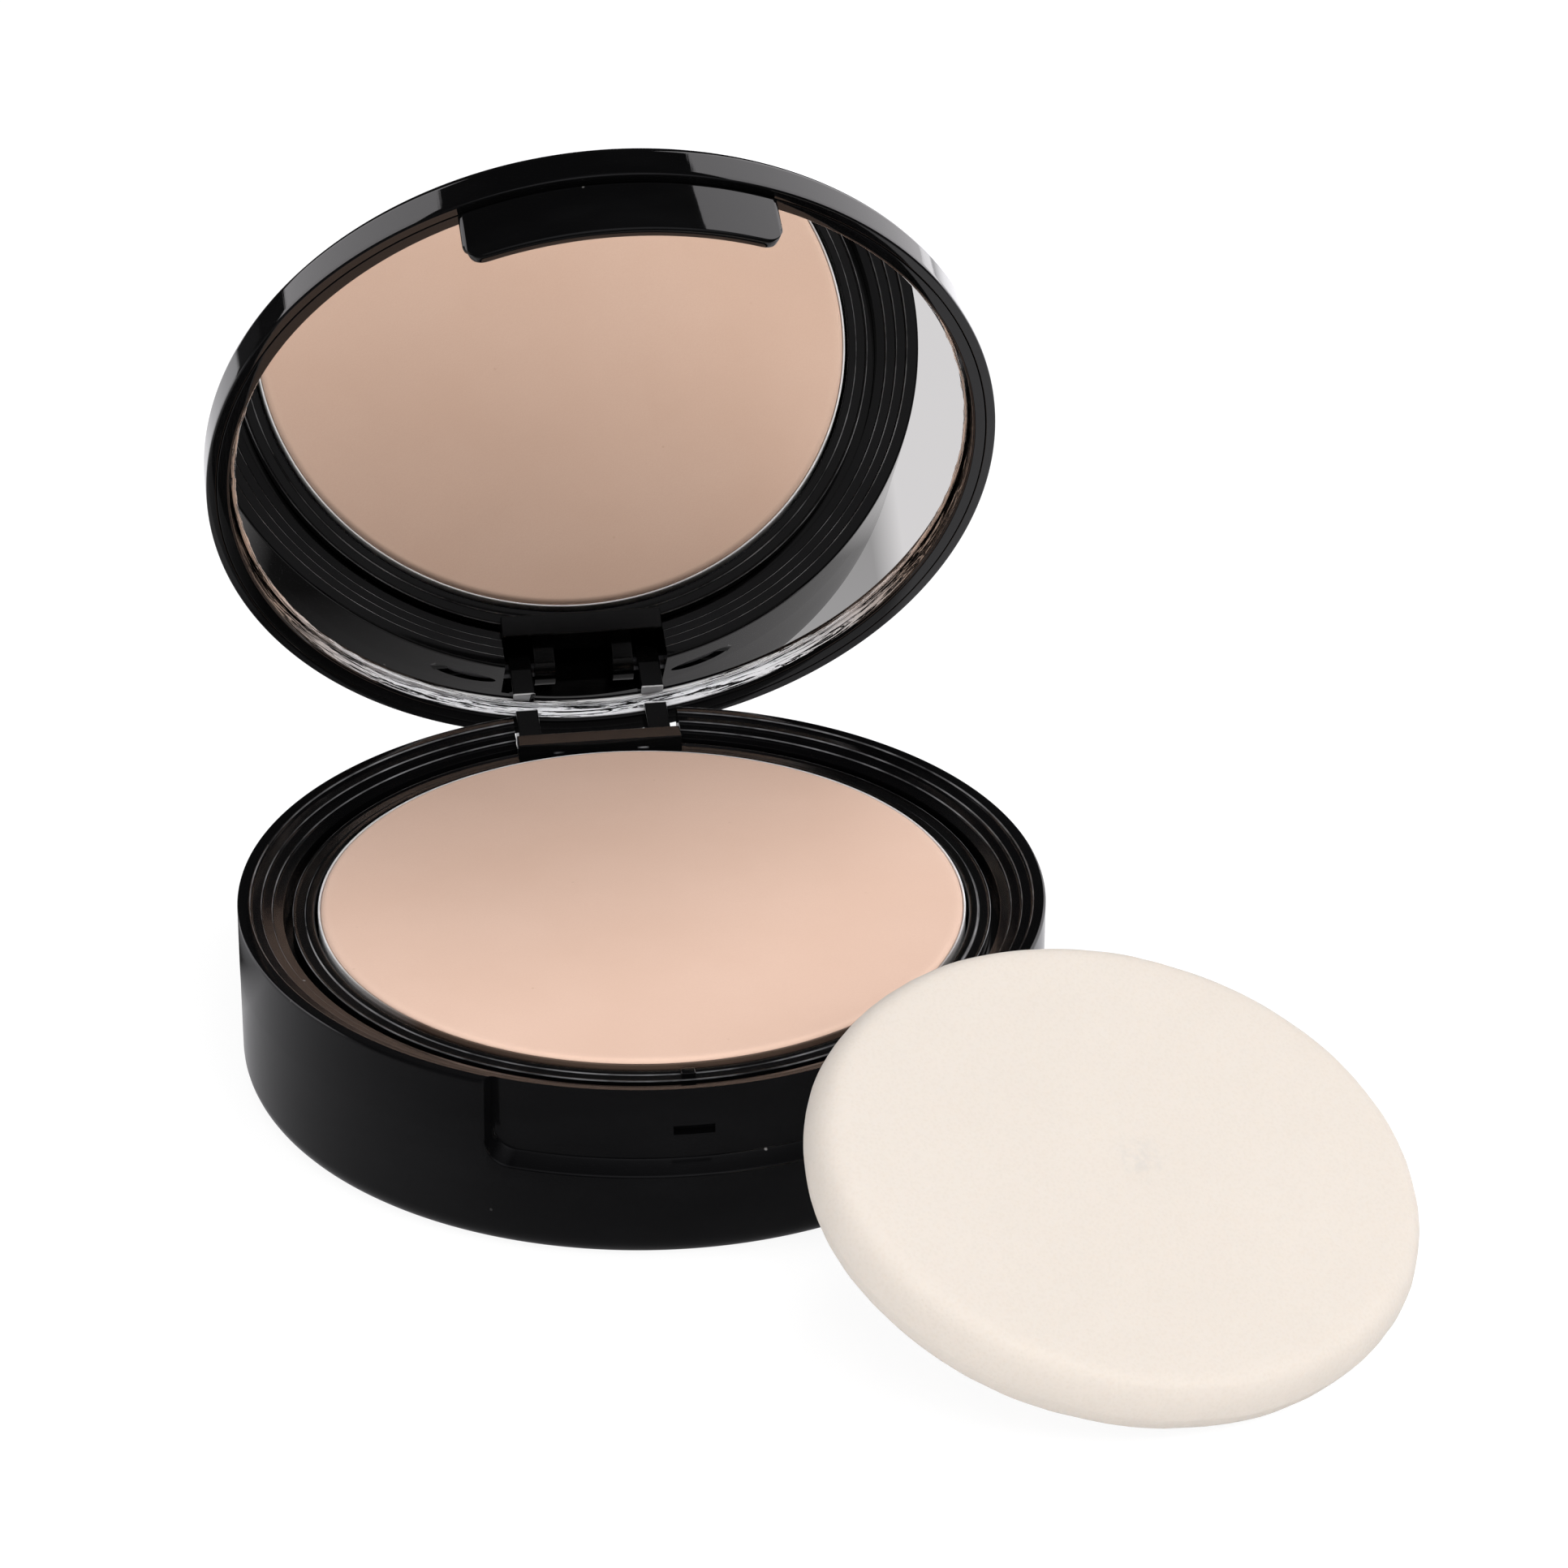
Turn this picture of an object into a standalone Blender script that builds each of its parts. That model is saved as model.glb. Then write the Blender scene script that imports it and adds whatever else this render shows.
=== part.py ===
"""Round powder compact: base with a sponge well, hinged powder tray, hinged mirror lid and loose sponge."""

from math import cos, pi, radians, sin, sqrt

import bmesh
import bpy
from mathutils import Vector

# Overall sizes, in metres.
BASE_RADIUS = 0.0375
BASE_HEIGHT = 0.0169
LID_HEIGHT = 0.0046
GAP = 0.0003
OPEN_ANGLE = 69.2

# Base.
WALL_TAPER = 0.00005
FOOT_ROUND = 0.0023
FOOT_WIDTH = 0.0052
FLOOR_THICKNESS = 0.0012
LABEL_RECESS = 0.0006
LEDGE_DROP = 0.0029
LEDGE_WIDTH = 0.0021
RIM_WIDTH = 0.0012
RIM_STEP = 0.00095
RIM_ROUND = 0.0003

# Tray, pan and powder.
RIM_BAND = 0.00505
TRAY_RING = 0.00235
TRAY_SINK = 0.00145
TRAY_FLANGE = 0.0012
TRAY_FLOOR = 0.0010
GROOVE = 0.00085
PAN_HEIGHT = 0.0032
PAN_WALL = 0.00035
PAN_SINK = 0.00116
PAD_THICKNESS = 0.0002
POWDER_CROWN = 0.00025
POWDER_ROUND = 0.0012
NIB_WIDTH = 0.0013

# Hinge: its axis lies inside the back wall, under the rim.
HINGE_INSET = 0.0021
HINGE_DROP = 0.0039
KNUCKLE_RADIUS = 0.0017
PIN_RADIUS = 0.0008
PIN_CLEARANCE = 0.00025
TRAY_EYE_IN = 0.0029
TRAY_EYE_OUT = 0.00495
LID_EYE_IN = 0.0053
LID_EYE_OUT = 0.0075
NOTCH_SIDE = 0.0006
NOTCH_ROOM = 0.0012
WEB_CLEARANCE = 0.0003
WEB_DROP = 0.0004

# Front latch.
RECESS_ANGLE = 29.2
RECESS_DEPTH = 0.0019
RECESS_DROP = 0.0082
RECESS_SLOPE = 0.0007
RECESS_CORNER = 0.0022
TAB_ANGLE = 22.8
TAB_THICKNESS = 0.0010
TAB_DROP = 0.0062
TAB_CORNER = 0.0018
SLOT_WIDTH = 0.0037
SLOT_HEIGHT = 0.0009
SLOT_DROP = 0.0047
HOOK_REACH = 0.00015

# Lid.
LID_WALL = 0.0009
BEZEL_WIDTH = 0.00095
MIRROR_BEVEL = 0.00085
MIRROR_EDGE = 0.00035

# Sponge, slightly out of round, leaning beside the front right of the base.
SPONGE_RADIUS = 0.02636
SPONGE_OVAL = 0.064
SPONGE_THICKNESS = 0.0070
SPONGE_ROUND = 0.0026
SPONGE_TILT = 25.0
SPONGE_BEARING = -55.9
SPONGE_DOWNHILL = -59.1
SPONGE_TURN = 64.8

STEPS = 72
FINE_STEPS = 96

# Derived sizes.
TRAY_RADIUS = BASE_RADIUS - RIM_BAND
PAN_RADIUS = TRAY_RADIUS - TRAY_RING
HINGE_Y = BASE_RADIUS - HINGE_INSET
HINGE_Z = BASE_HEIGHT - HINGE_DROP
LID_Z = BASE_HEIGHT + GAP
PAN_TOP = BASE_HEIGHT - PAN_SINK
PAN_BOTTOM = PAN_TOP - PAN_HEIGHT
PAD_BOTTOM = PAN_BOTTOM - GAP - PAD_THICKNESS
TRAY_FLOOR_TOP = PAD_BOTTOM - GAP
TRAY_BOTTOM = TRAY_FLOOR_TOP - TRAY_FLOOR
TRAY_TOP = BASE_HEIGHT - TRAY_SINK
LEDGE_Z = BASE_HEIGHT - LEDGE_DROP
TRAY_BODY = TRAY_RADIUS + GROOVE - LEDGE_WIDTH
PANEL_RADIUS = BASE_RADIUS - RECESS_DEPTH
TAB_INNER = PANEL_RADIUS + GAP
BEZEL_OUTER = BASE_RADIUS - LID_WALL - GAP
BEZEL_INNER = BEZEL_OUTER - BEZEL_WIDTH
LID_TOP = LID_HEIGHT / 4
LID_CEILING = LID_Z + LID_HEIGHT - LID_TOP
MIRROR_SINK = LID_HEIGHT * 8 / 23
MIRROR_THICKNESS = LID_HEIGHT * 5 / 23


def clear_scene():
    for obj in list(bpy.data.objects):
        bpy.data.objects.remove(obj, do_unlink=True)


def collection(name, hidden=False):
    made = bpy.data.collections.new(name)
    bpy.context.scene.collection.children.link(made)
    made.hide_render = hidden
    return made


def material(name, colour, roughness, metallic=0.0):
    made = bpy.data.materials.new(name)
    made.use_nodes = True
    shader = made.node_tree.nodes["Principled BSDF"]
    shader.inputs["Base Color"].default_value = (*colour, 1.0)
    shader.inputs["Roughness"].default_value = roughness
    shader.inputs["Metallic"].default_value = metallic
    made.diffuse_color = (*colour, 1.0)
    return made


def empty(name, location, group):
    made = bpy.data.objects.new(name, None)
    made.location = location
    made.empty_display_size = 0.01
    group.objects.link(made)
    return made


def solid(name, mesh, group, look=None, parent=None):
    """An object holding this mesh, given in the closed compact's coordinates, on its parent's joint axis."""
    made = bpy.data.objects.new(name, mesh)
    group.objects.link(made)
    if look:
        mesh.materials.append(look)
    if parent:
        made.parent = parent
        made.location = -Vector(parent.location)
    return made


def cutter(obj):
    obj.hide_render = True
    obj.display_type = "WIRE"
    return obj


def lathe(name, profile, group, look=None, parent=None, loop=False, steps=STEPS):
    """A body of revolution: the profile of (radius, height) pairs runs down its outer side."""
    mesh = bpy.data.meshes.new(name)
    edges = [(i, i + 1) for i in range(len(profile) - 1)]
    if loop:
        edges.append((len(profile) - 1, 0))
    mesh.from_pydata([(r, 0.0, z) for r, z in profile], edges, [])
    made = solid(name, mesh, group, look, parent)
    screw = made.modifiers.new("Lathe", "SCREW")
    screw.axis = "Z"
    screw.steps = steps
    screw.render_steps = steps
    screw.use_merge_vertices = True
    screw.merge_threshold = 0.00001
    screw.use_smooth_shade = True
    return made


def mesh_of(name, bm):
    mesh = bpy.data.meshes.new(name)
    bmesh.ops.recalc_face_normals(bm, faces=bm.faces)
    bm.to_mesh(mesh)
    bm.free()
    return mesh


def box(name, low, high, group, parent=None):
    bm = bmesh.new()
    bmesh.ops.create_cube(bm, size=1.0)
    size = [b - a for a, b in zip(low, high)]
    middle = [(a + b) / 2 for a, b in zip(low, high)]
    bmesh.ops.scale(bm, vec=size, verts=bm.verts)
    bmesh.ops.translate(bm, vec=middle, verts=bm.verts)
    return solid(name, mesh_of(name, bm), group, None, parent)


def rod_mesh(name, radius, x_low, x_high, segments=24):
    """A cylinder along X on the hinge axis."""
    bm = bmesh.new()
    bmesh.ops.create_cone(
        bm,
        cap_ends=True,
        segments=segments,
        radius1=radius,
        radius2=radius,
        depth=x_high - x_low,
    )
    for vert in bm.verts:
        x, y, z = vert.co
        vert.co = (z + (x_low + x_high) / 2, x + HINGE_Y, y + HINGE_Z)
    return mesh_of(name, bm)


def arc_plate(name, section, half_angle, corner, group, parent=None, columns=22):
    """A curved plate at the front: its (radius, height) section goes round, with round lower corners."""
    bm = bmesh.new()
    outer = max(r for r, z in section)
    low = min(z for r, z in section) + corner
    reach = outer * radians(half_angle)
    rings = []
    for i in range(columns + 1):
        along = reach * -cos(pi * i / columns)
        past = max(0.0, abs(along) - (reach - corner))
        rise = corner - sqrt(max(0.0, corner**2 - past**2))
        turn = along / outer
        ring = []
        for r, z in section:
            height = z + rise if z < low else z
            ring.append(bm.verts.new((r * sin(turn), -r * cos(turn), height)))
        rings.append(ring)
    skin_rings(bm, rings)
    return solid(name, mesh_of(name, bm), group, None, parent)


def skin_rings(bm, rings):
    """Faces between rings of the same count of points, with a cap at each end."""
    count = len(rings[0])
    for first, second in zip(rings, rings[1:]):
        for i in range(count):
            j = (i + 1) % count
            bm.faces.new((first[i], first[j], second[j], second[i]))
    bm.faces.new(rings[0])
    bm.faces.new(list(reversed(rings[-1])))


def side_plate(name, outline, x_low, x_high, group, parent=None):
    """A plate across X from an outline of (y, z) points."""
    bm = bmesh.new()
    rings = [[bm.verts.new((x, y, z)) for y, z in outline] for x in (x_low, x_high)]
    skin_rings(bm, rings)
    return solid(name, mesh_of(name, bm), group, None, parent)


def eye_arc(start, end, points=14):
    """Points round the hinge axis, between two angles in degrees from the back, turning up."""
    turns = [radians(start + (end - start) * i / points) for i in range(points + 1)]
    return [(HINGE_Y + KNUCKLE_RADIUS * cos(t), HINGE_Z + KNUCKLE_RADIUS * sin(t)) for t in turns]


def boolean(target, tool, operation):
    made = target.modifiers.new(operation.title() + " " + tool.name, "BOOLEAN")
    made.operation = operation
    made.solver = "EXACT"
    made.object = tool
    cutter(tool)


def round_corner(radius, top, size, points=4):
    """Points of a quarter round, from a flat top over to a vertical side at this radius."""
    return [
        (
            radius - size + size * sin(pi / 2 * i / points),
            top - size + size * cos(pi / 2 * i / points),
        )
        for i in range(points + 1)
    ]


def base_profile():
    inner = TRAY_RADIUS + GROOVE
    well = inner - LEDGE_WIDTH
    top = BASE_HEIGHT
    floor = LABEL_RECESS + FLOOR_THICKNESS
    rim = BASE_RADIUS - RIM_WIDTH
    profile = [(0.0, floor), (well, floor), (well, LEDGE_Z), (inner, LEDGE_Z), (inner, top - 0.0014)]
    steps = (rim - inner) / 3
    for i, height in ((1, 0.00125), (2, 0.00082), (3, 0.0004)):
        radius = inner + steps * i
        profile += [(radius - 0.00012, top - height), (radius, top - height + 0.00032)]
    profile += [(rim + 0.0001, top)]
    profile += round_corner(BASE_RADIUS, top, RIM_ROUND, 3)
    low = BASE_RADIUS - WALL_TAPER
    for i in range(6):
        turn = pi / 2 * i / 5
        profile.append((low - FOOT_ROUND * (1 - cos(turn)), FOOT_ROUND * (1 - sin(turn))))
    recess = low - FOOT_ROUND - FOOT_WIDTH
    profile += [(recess, 0.0), (recess, LABEL_RECESS), (0.0, LABEL_RECESS)]
    return profile


def build_base(group, tools, plastic):
    base = lathe("base_shell", base_profile(), group, plastic, steps=FINE_STEPS)
    half = LID_EYE_OUT + NOTCH_SIDE
    notch = box(
        "hinge_notch_cutter",
        (-half, HINGE_Y - 0.2 * BASE_RADIUS, HINGE_Z - KNUCKLE_RADIUS - NOTCH_ROOM),
        (half, BASE_RADIUS * 1.2, BASE_HEIGHT * 1.5),
        tools,
    )
    boolean(base, notch, "DIFFERENCE")
    bore = solid(
        "pin_bore_cutter",
        rod_mesh("pin_bore_cutter", PIN_RADIUS + PIN_CLEARANCE, -BASE_RADIUS * 0.6, BASE_RADIUS * 0.6, 24),
        tools,
    )
    boolean(base, bore, "DIFFERENCE")
    lip = BASE_HEIGHT - RECESS_DROP
    section = [
        (PANEL_RADIUS, lip + RECESS_SLOPE),
        (BASE_RADIUS * 1.06, lip),
        (BASE_RADIUS * 1.06, BASE_HEIGHT * 1.3),
        (PANEL_RADIUS, BASE_HEIGHT * 1.3),
    ]
    recess = arc_plate("latch_recess_cutter", section, RECESS_ANGLE, RECESS_CORNER, tools, columns=26)
    boolean(base, recess, "DIFFERENCE")
    middle = BASE_HEIGHT - SLOT_DROP
    slot = box(
        "catch_slot_cutter",
        (-SLOT_WIDTH / 2, -PANEL_RADIUS * 1.05, middle - SLOT_HEIGHT / 2),
        (SLOT_WIDTH / 2, -PANEL_RADIUS + 0.0010, middle + SLOT_HEIGHT / 2),
        tools,
    )
    boolean(base, slot, "DIFFERENCE")
    return base


def build_label(group, paper):
    radius = BASE_RADIUS - WALL_TAPER - FOOT_ROUND - FOOT_WIDTH - 2 * GAP
    return lathe("base_label", disc_profile(radius, 0.0, LABEL_RECESS - 0.7 * GAP), group, paper)


def build_pins(group, tools, steel):
    end = BASE_RADIUS * 0.36
    trim = lathe(
        "pin_end_cutter",
        [
            (0.0, BASE_HEIGHT),
            (BASE_RADIUS - GAP, BASE_HEIGHT),
            (BASE_RADIUS - GAP, 0.0),
            (0.0, 0.0),
        ],
        tools,
    )
    for name, low, high in (
        ("hinge_pin_left", -end, -TRAY_EYE_IN),
        ("hinge_pin_right", TRAY_EYE_IN, end),
    ):
        pin = solid(name, rod_mesh(name, PIN_RADIUS, low, high, 20), group, steel)
        boolean(pin, trim, "INTERSECT")


def build_tray(group, tools, parent, plastic):
    body = TRAY_BODY - 2 * GAP
    well = PAN_RADIUS + GAP
    profile = [
        (0.0, TRAY_FLOOR_TOP),
        (well, TRAY_FLOOR_TOP),
        (well, TRAY_TOP - 0.0002),
        (well + 0.0002, TRAY_TOP),
        (TRAY_RADIUS - 0.0002, TRAY_TOP),
        (TRAY_RADIUS, TRAY_TOP - 0.0002),
        (TRAY_RADIUS, TRAY_TOP - TRAY_FLANGE),
        (body, TRAY_TOP - TRAY_FLANGE),
        (body, TRAY_BOTTOM + 0.0004),
        (body - 0.0004, TRAY_BOTTOM),
        (0.0, TRAY_BOTTOM),
    ]
    tray = lathe("pan_tray", profile, group, plastic, parent)
    front = well + 0.0006
    low = HINGE_Z - 0.6 * KNUCKLE_RADIUS
    for side, first in (("left", -TRAY_EYE_OUT), ("right", TRAY_EYE_IN)):
        outline = eye_arc(-120, 90) + [(front, HINGE_Z + KNUCKLE_RADIUS), (front, low)]
        last = first + TRAY_EYE_OUT - TRAY_EYE_IN
        lug = side_plate("tray_lug_" + side, outline, first, last, tools, parent)
        boolean(tray, lug, "UNION")
    reach = LID_EYE_OUT + NOTCH_SIDE
    half = reach - WEB_CLEARANCE
    web = box(
        "tray_web",
        (-half, front + 0.0001, low + 0.0001),
        (half, HINGE_Y - 1.3 * KNUCKLE_RADIUS, BASE_HEIGHT - WEB_DROP),
        tools,
        parent,
    )
    boolean(tray, web, "UNION")
    bore = solid(
        "tray_bore_cutter",
        rod_mesh("tray_bore_cutter", PIN_RADIUS + PIN_CLEARANCE, -reach, reach, 24),
        tools,
        None,
        parent,
    )
    boolean(tray, bore, "DIFFERENCE")
    nib = box(
        "tray_nib",
        (-NIB_WIDTH / 2, 0.0005 - TRAY_RADIUS, TRAY_TOP - 0.0004),
        (NIB_WIDTH / 2, -well - 0.0005, TRAY_TOP + 0.00035),
        tools,
        parent,
    )
    boolean(tray, nib, "UNION")
    return tray


def build_pan(group, parent, aluminium):
    inner = PAN_RADIUS - PAN_WALL
    profile = [
        (0.0, PAN_BOTTOM + PAN_WALL),
        (inner, PAN_BOTTOM + PAN_WALL),
        (inner, PAN_TOP),
        (PAN_RADIUS, PAN_TOP),
        (PAN_RADIUS, PAN_BOTTOM + 0.0005),
        (PAN_RADIUS - 0.0005, PAN_BOTTOM),
        (0.0, PAN_BOTTOM),
    ]
    return lathe("powder_pan", profile, group, aluminium, parent)


def build_powder(group, parent, powder):
    radius = PAN_RADIUS - PAN_WALL - GAP
    top = PAN_TOP + POWDER_CROWN
    profile = [(0.0, top)]
    profile += [(radius - POWDER_ROUND * 1.4, top)]
    profile += round_corner(radius, top - 0.00004, POWDER_ROUND, 4)
    profile += [(radius, PAN_BOTTOM + PAN_WALL + GAP), (0.0, PAN_BOTTOM + PAN_WALL + GAP)]
    return lathe("powder_cake", profile, group, powder, parent)


def disc_profile(radius, low, high):
    return [(0.0, high), (radius, high), (radius, low), (0.0, low)]


def build_tray_pad(group, parent, glue):
    profile = disc_profile(PAN_RADIUS * 0.6, PAD_BOTTOM, PAD_BOTTOM + PAD_THICKNESS)
    return lathe("pan_glue", profile, group, glue, parent, steps=48)


def build_lid_shell(group, parent, plastic):
    top = LID_Z + LID_HEIGHT
    inner = BASE_RADIUS - LID_WALL
    profile = [(0.0, top), (BASE_RADIUS * 0.6, top - 0.00006), (BASE_RADIUS * 0.9, top - 0.00022)]
    profile += round_corner(BASE_RADIUS, top - 0.0003, 0.0013, 5)
    profile += [
        (BASE_RADIUS, LID_Z + 0.0002),
        (BASE_RADIUS - 0.00015, LID_Z),
        (inner, LID_Z),
        (inner, LID_CEILING),
        (0.0, LID_CEILING),
    ]
    return lathe("lid_shell", profile, group, plastic, parent, steps=FINE_STEPS)


def build_lid_bezel(group, tools, parent, plastic):
    top = LID_CEILING - GAP
    profile = [
        (BEZEL_OUTER, top),
        (BEZEL_OUTER, LID_Z + 0.00015),
        (BEZEL_OUTER - 0.00015, LID_Z),
        (BEZEL_INNER + 0.0002, LID_Z),
        (BEZEL_INNER, LID_Z + 0.0002),
        (BEZEL_INNER, top),
    ]
    bezel = lathe("lid_bezel", profile, group, plastic, parent, loop=True)
    tab_top = LID_Z - GAP
    tab_low = BASE_HEIGHT - TAB_DROP
    section = [
        (TAB_INNER, tab_low),
        (TAB_INNER + TAB_THICKNESS, tab_low),
        (TAB_INNER + TAB_THICKNESS, tab_top),
        (BEZEL_OUTER - 0.00004, tab_top),
        (BEZEL_OUTER - 0.00004, LID_Z + 0.0005),
        (TAB_INNER, LID_Z + 0.0005),
    ]
    tab = arc_plate("tab_plate", section, TAB_ANGLE, TAB_CORNER, tools, parent, columns=24)
    boolean(bezel, tab, "UNION")
    middle = BASE_HEIGHT - SLOT_DROP
    hook = box(
        "catch_hook",
        (-SLOT_WIDTH * 0.45, -TAB_INNER - 0.0004, middle - SLOT_HEIGHT * 0.35),
        (SLOT_WIDTH * 0.45, -TAB_INNER + HOOK_REACH, middle + SLOT_HEIGHT * 0.35),
        tools,
        parent,
    )
    boolean(bezel, hook, "UNION")
    add_lid_lugs(bezel, tools, parent)
    return bezel


def add_lid_lugs(bezel, tools, parent):
    neck_back = sqrt((BEZEL_OUTER - 0.0001) ** 2 - LID_EYE_OUT**2)
    front = HINGE_Y - 0.9 * KNUCKLE_RADIUS
    back = HINGE_Y + 0.9 * KNUCKLE_RADIUS
    outline = eye_arc(-155, 25)
    outline += [(back, LID_Z - GAP), (neck_back, LID_Z - GAP), (neck_back, LID_Z + 0.0006)]
    outline += [(front, LID_Z + 0.0006)]
    for side, first in (("left", -LID_EYE_OUT), ("right", LID_EYE_IN)):
        last = first + LID_EYE_OUT - LID_EYE_IN
        lug = side_plate("lid_lug_" + side, outline, first, last, tools, parent)
        boolean(bezel, lug, "UNION")
    reach = LID_EYE_OUT + NOTCH_SIDE
    bore = solid(
        "lid_bore_cutter",
        rod_mesh("lid_bore_cutter", PIN_RADIUS + PIN_CLEARANCE, -reach, reach, 24),
        tools,
        None,
        parent,
    )
    boolean(bezel, bore, "DIFFERENCE")


def build_mirror(group, parent, glass, glue):
    radius = BEZEL_INNER - GAP
    face = LID_Z + MIRROR_SINK
    back = face + MIRROR_THICKNESS
    profile = [
        (0.0, back),
        (radius, back),
        (radius, face + MIRROR_EDGE),
        (radius - MIRROR_BEVEL, face),
        (0.0, face),
    ]
    lathe("lid_mirror", profile, group, glass, parent, steps=FINE_STEPS)
    low = back + 0.7 * GAP
    high = LID_CEILING - 0.7 * GAP
    lathe("mirror_pad", disc_profile(radius * 0.8, low, high), group, glue, parent, steps=48)


def sponge_mesh():
    """A soft round-edged disc lying flat round the origin, slightly oval."""
    half = SPONGE_THICKNESS / 2
    rows = 4
    profile = []
    for i in range(rows + 1):
        turn = pi / 2 * i / rows
        profile.append((SPONGE_RADIUS - SPONGE_ROUND * (1 - sin(turn)), half - SPONGE_ROUND * (1 - cos(turn))))
    for i in range(rows + 1):
        turn = pi / 2 * i / rows
        profile.append((SPONGE_RADIUS - SPONGE_ROUND * (1 - cos(turn)), -half + SPONGE_ROUND * (1 - sin(turn))))
    bm = bmesh.new()
    rings = []
    spin = radians(SPONGE_TURN)
    for r, z in profile:
        ring = []
        for k in range(64):
            turn = 2 * pi * k / 64
            x = r * cos(turn) * (1 + SPONGE_OVAL)
            y = r * sin(turn) * (1 - SPONGE_OVAL)
            ring.append(bm.verts.new((x * cos(spin) - y * sin(spin), x * sin(spin) + y * cos(spin), z)))
        rings.append(ring)
    for first, second in zip(rings, rings[1:]):
        for k in range(64):
            j = (k + 1) % 64
            bm.faces.new((first[k], first[j], second[j], second[k]))
    bm.faces.new(rings[0])
    bm.faces.new(list(reversed(rings[-1])))
    return mesh_of("sponge_puff", bm)


def build_sponge(group, foam):
    """The sponge stands on its low edge, just clear of the outer wall of the base."""
    mesh = sponge_mesh()
    sponge = solid("sponge_puff", mesh, group, foam)
    sponge.rotation_euler = (0.0, radians(SPONGE_TILT), radians(SPONGE_DOWNHILL))
    turned = sponge.rotation_euler.to_matrix()
    points = [turned @ vert.co for vert in mesh.vertices]
    height = 0.2 * GAP - min(point.z for point in points)
    out = Vector((cos(radians(SPONGE_BEARING)), sin(radians(SPONGE_BEARING)), 0.0))
    distance = 0.0
    limit = BASE_RADIUS + GAP
    for point in points:
        along = point.x * out.x + point.y * out.y
        across = point.x * out.y - point.y * out.x
        if abs(across) < limit:
            distance = max(distance, sqrt(limit**2 - across**2) - along)
    sponge.location = (out.x * distance, out.y * distance, height)
    return sponge


def main():
    clear_scene()
    group = collection("powder_compact")
    tools = collection("cutters", hidden=True)
    black = material("black_gloss", (0.012, 0.012, 0.014), 0.16)
    black_tray = material("black_tray", (0.014, 0.014, 0.015), 0.24)
    black_lid = material("black_lid", (0.012, 0.012, 0.013), 0.13)
    black_bezel = material("black_bezel", (0.013, 0.013, 0.014), 0.20)
    silver = material("pan_aluminium", (0.80, 0.80, 0.81), 0.30, 1.0)
    powder = material("pressed_powder", (0.70, 0.50, 0.39), 0.85)
    mirror = material("silvered_glass", (0.93, 0.94, 0.94), 0.02, 1.0)
    foam = material("cream_foam", (0.89, 0.81, 0.73), 0.90)
    steel = material("pin_steel", (0.55, 0.55, 0.56), 0.30, 1.0)
    glue = material("pan_glue", (0.75, 0.71, 0.60), 0.60)
    tape = material("mirror_tape", (0.82, 0.82, 0.80), 0.70)
    paper = material("label_paper", (0.84, 0.83, 0.80), 0.75)

    build_base(group, tools, black)
    build_label(group, paper)
    build_pins(group, tools, steel)

    tray_joint = empty("tray_hinge", (0.0, HINGE_Y, HINGE_Z), group)
    build_tray(group, tools, tray_joint, black_tray)
    build_tray_pad(group, tray_joint, glue)
    build_pan(group, tray_joint, silver)
    build_powder(group, tray_joint, powder)

    lid_joint = empty("lid_hinge", (0.0, HINGE_Y, HINGE_Z), group)
    build_lid_shell(group, lid_joint, black_lid)
    build_lid_bezel(group, tools, lid_joint, black_bezel)
    build_mirror(group, lid_joint, mirror, tape)
    lid_joint.rotation_euler = (-radians(OPEN_ANGLE), 0.0, 0.0)

    build_sponge(group, foam)


main()
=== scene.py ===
from math import cos, pi, radians, sin, sqrt

import bmesh
import bpy
from mathutils import Matrix, Vector, noise


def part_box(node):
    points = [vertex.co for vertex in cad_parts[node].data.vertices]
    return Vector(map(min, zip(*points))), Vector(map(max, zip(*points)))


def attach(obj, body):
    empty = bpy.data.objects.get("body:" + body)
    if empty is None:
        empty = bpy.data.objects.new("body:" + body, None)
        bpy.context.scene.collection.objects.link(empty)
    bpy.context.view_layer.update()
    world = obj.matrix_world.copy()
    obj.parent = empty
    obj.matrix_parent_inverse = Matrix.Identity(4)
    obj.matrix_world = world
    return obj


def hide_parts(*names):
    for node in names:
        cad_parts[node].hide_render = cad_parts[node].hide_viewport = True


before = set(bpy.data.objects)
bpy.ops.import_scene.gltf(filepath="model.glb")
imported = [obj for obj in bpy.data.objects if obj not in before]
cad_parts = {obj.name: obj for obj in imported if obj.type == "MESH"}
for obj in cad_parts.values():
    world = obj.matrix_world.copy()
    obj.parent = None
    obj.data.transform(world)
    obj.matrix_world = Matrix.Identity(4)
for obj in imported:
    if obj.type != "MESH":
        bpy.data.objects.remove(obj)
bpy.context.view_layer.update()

# The compact's sizes in metres and degrees, after the CAD model's. A few differ by a tenth or so
# of a millimetre, to look as in the photograph: the pan's wall is thinner, the powder fills the
# pan up to it, the bezel's outside is nearer to the lid's wall and the sponge is rounder.
BASE_RADIUS = 0.0375
BASE_HEIGHT = 0.0169
WALL_TAPER = 0.00005
FOOT_ROUND = 0.0023
FOOT_WIDTH = 0.0052
LABEL_RECESS = 0.0006
BASE_FLOOR = 0.0018
INNER_RADIUS = 0.0333
LEDGE_Z = 0.0140
WELL_RADIUS = 0.0312
HINGE_Y = 0.0354
HINGE_Z = 0.0130
KNUCKLE = 0.0017
PANEL_RADIUS = 0.0356
RECESS_LIP = 0.0087
RECESS_SLOPE = 0.0007
RECESS_ANGLE = 29.2
RECESS_CORNER = 0.0022
TRAY_TOP = 0.01545
TRAY_RADIUS = 0.03245
TRAY_BODY = 0.0306
TRAY_WELL = 0.0304
TRAY_FLOOR = 0.01174
TRAY_BOTTOM = 0.01074
PAN_RADIUS = 0.0301
PAN_TOP = 0.01574
PAN_BOTTOM = 0.01254
PAN_WALL = 0.00022
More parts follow.
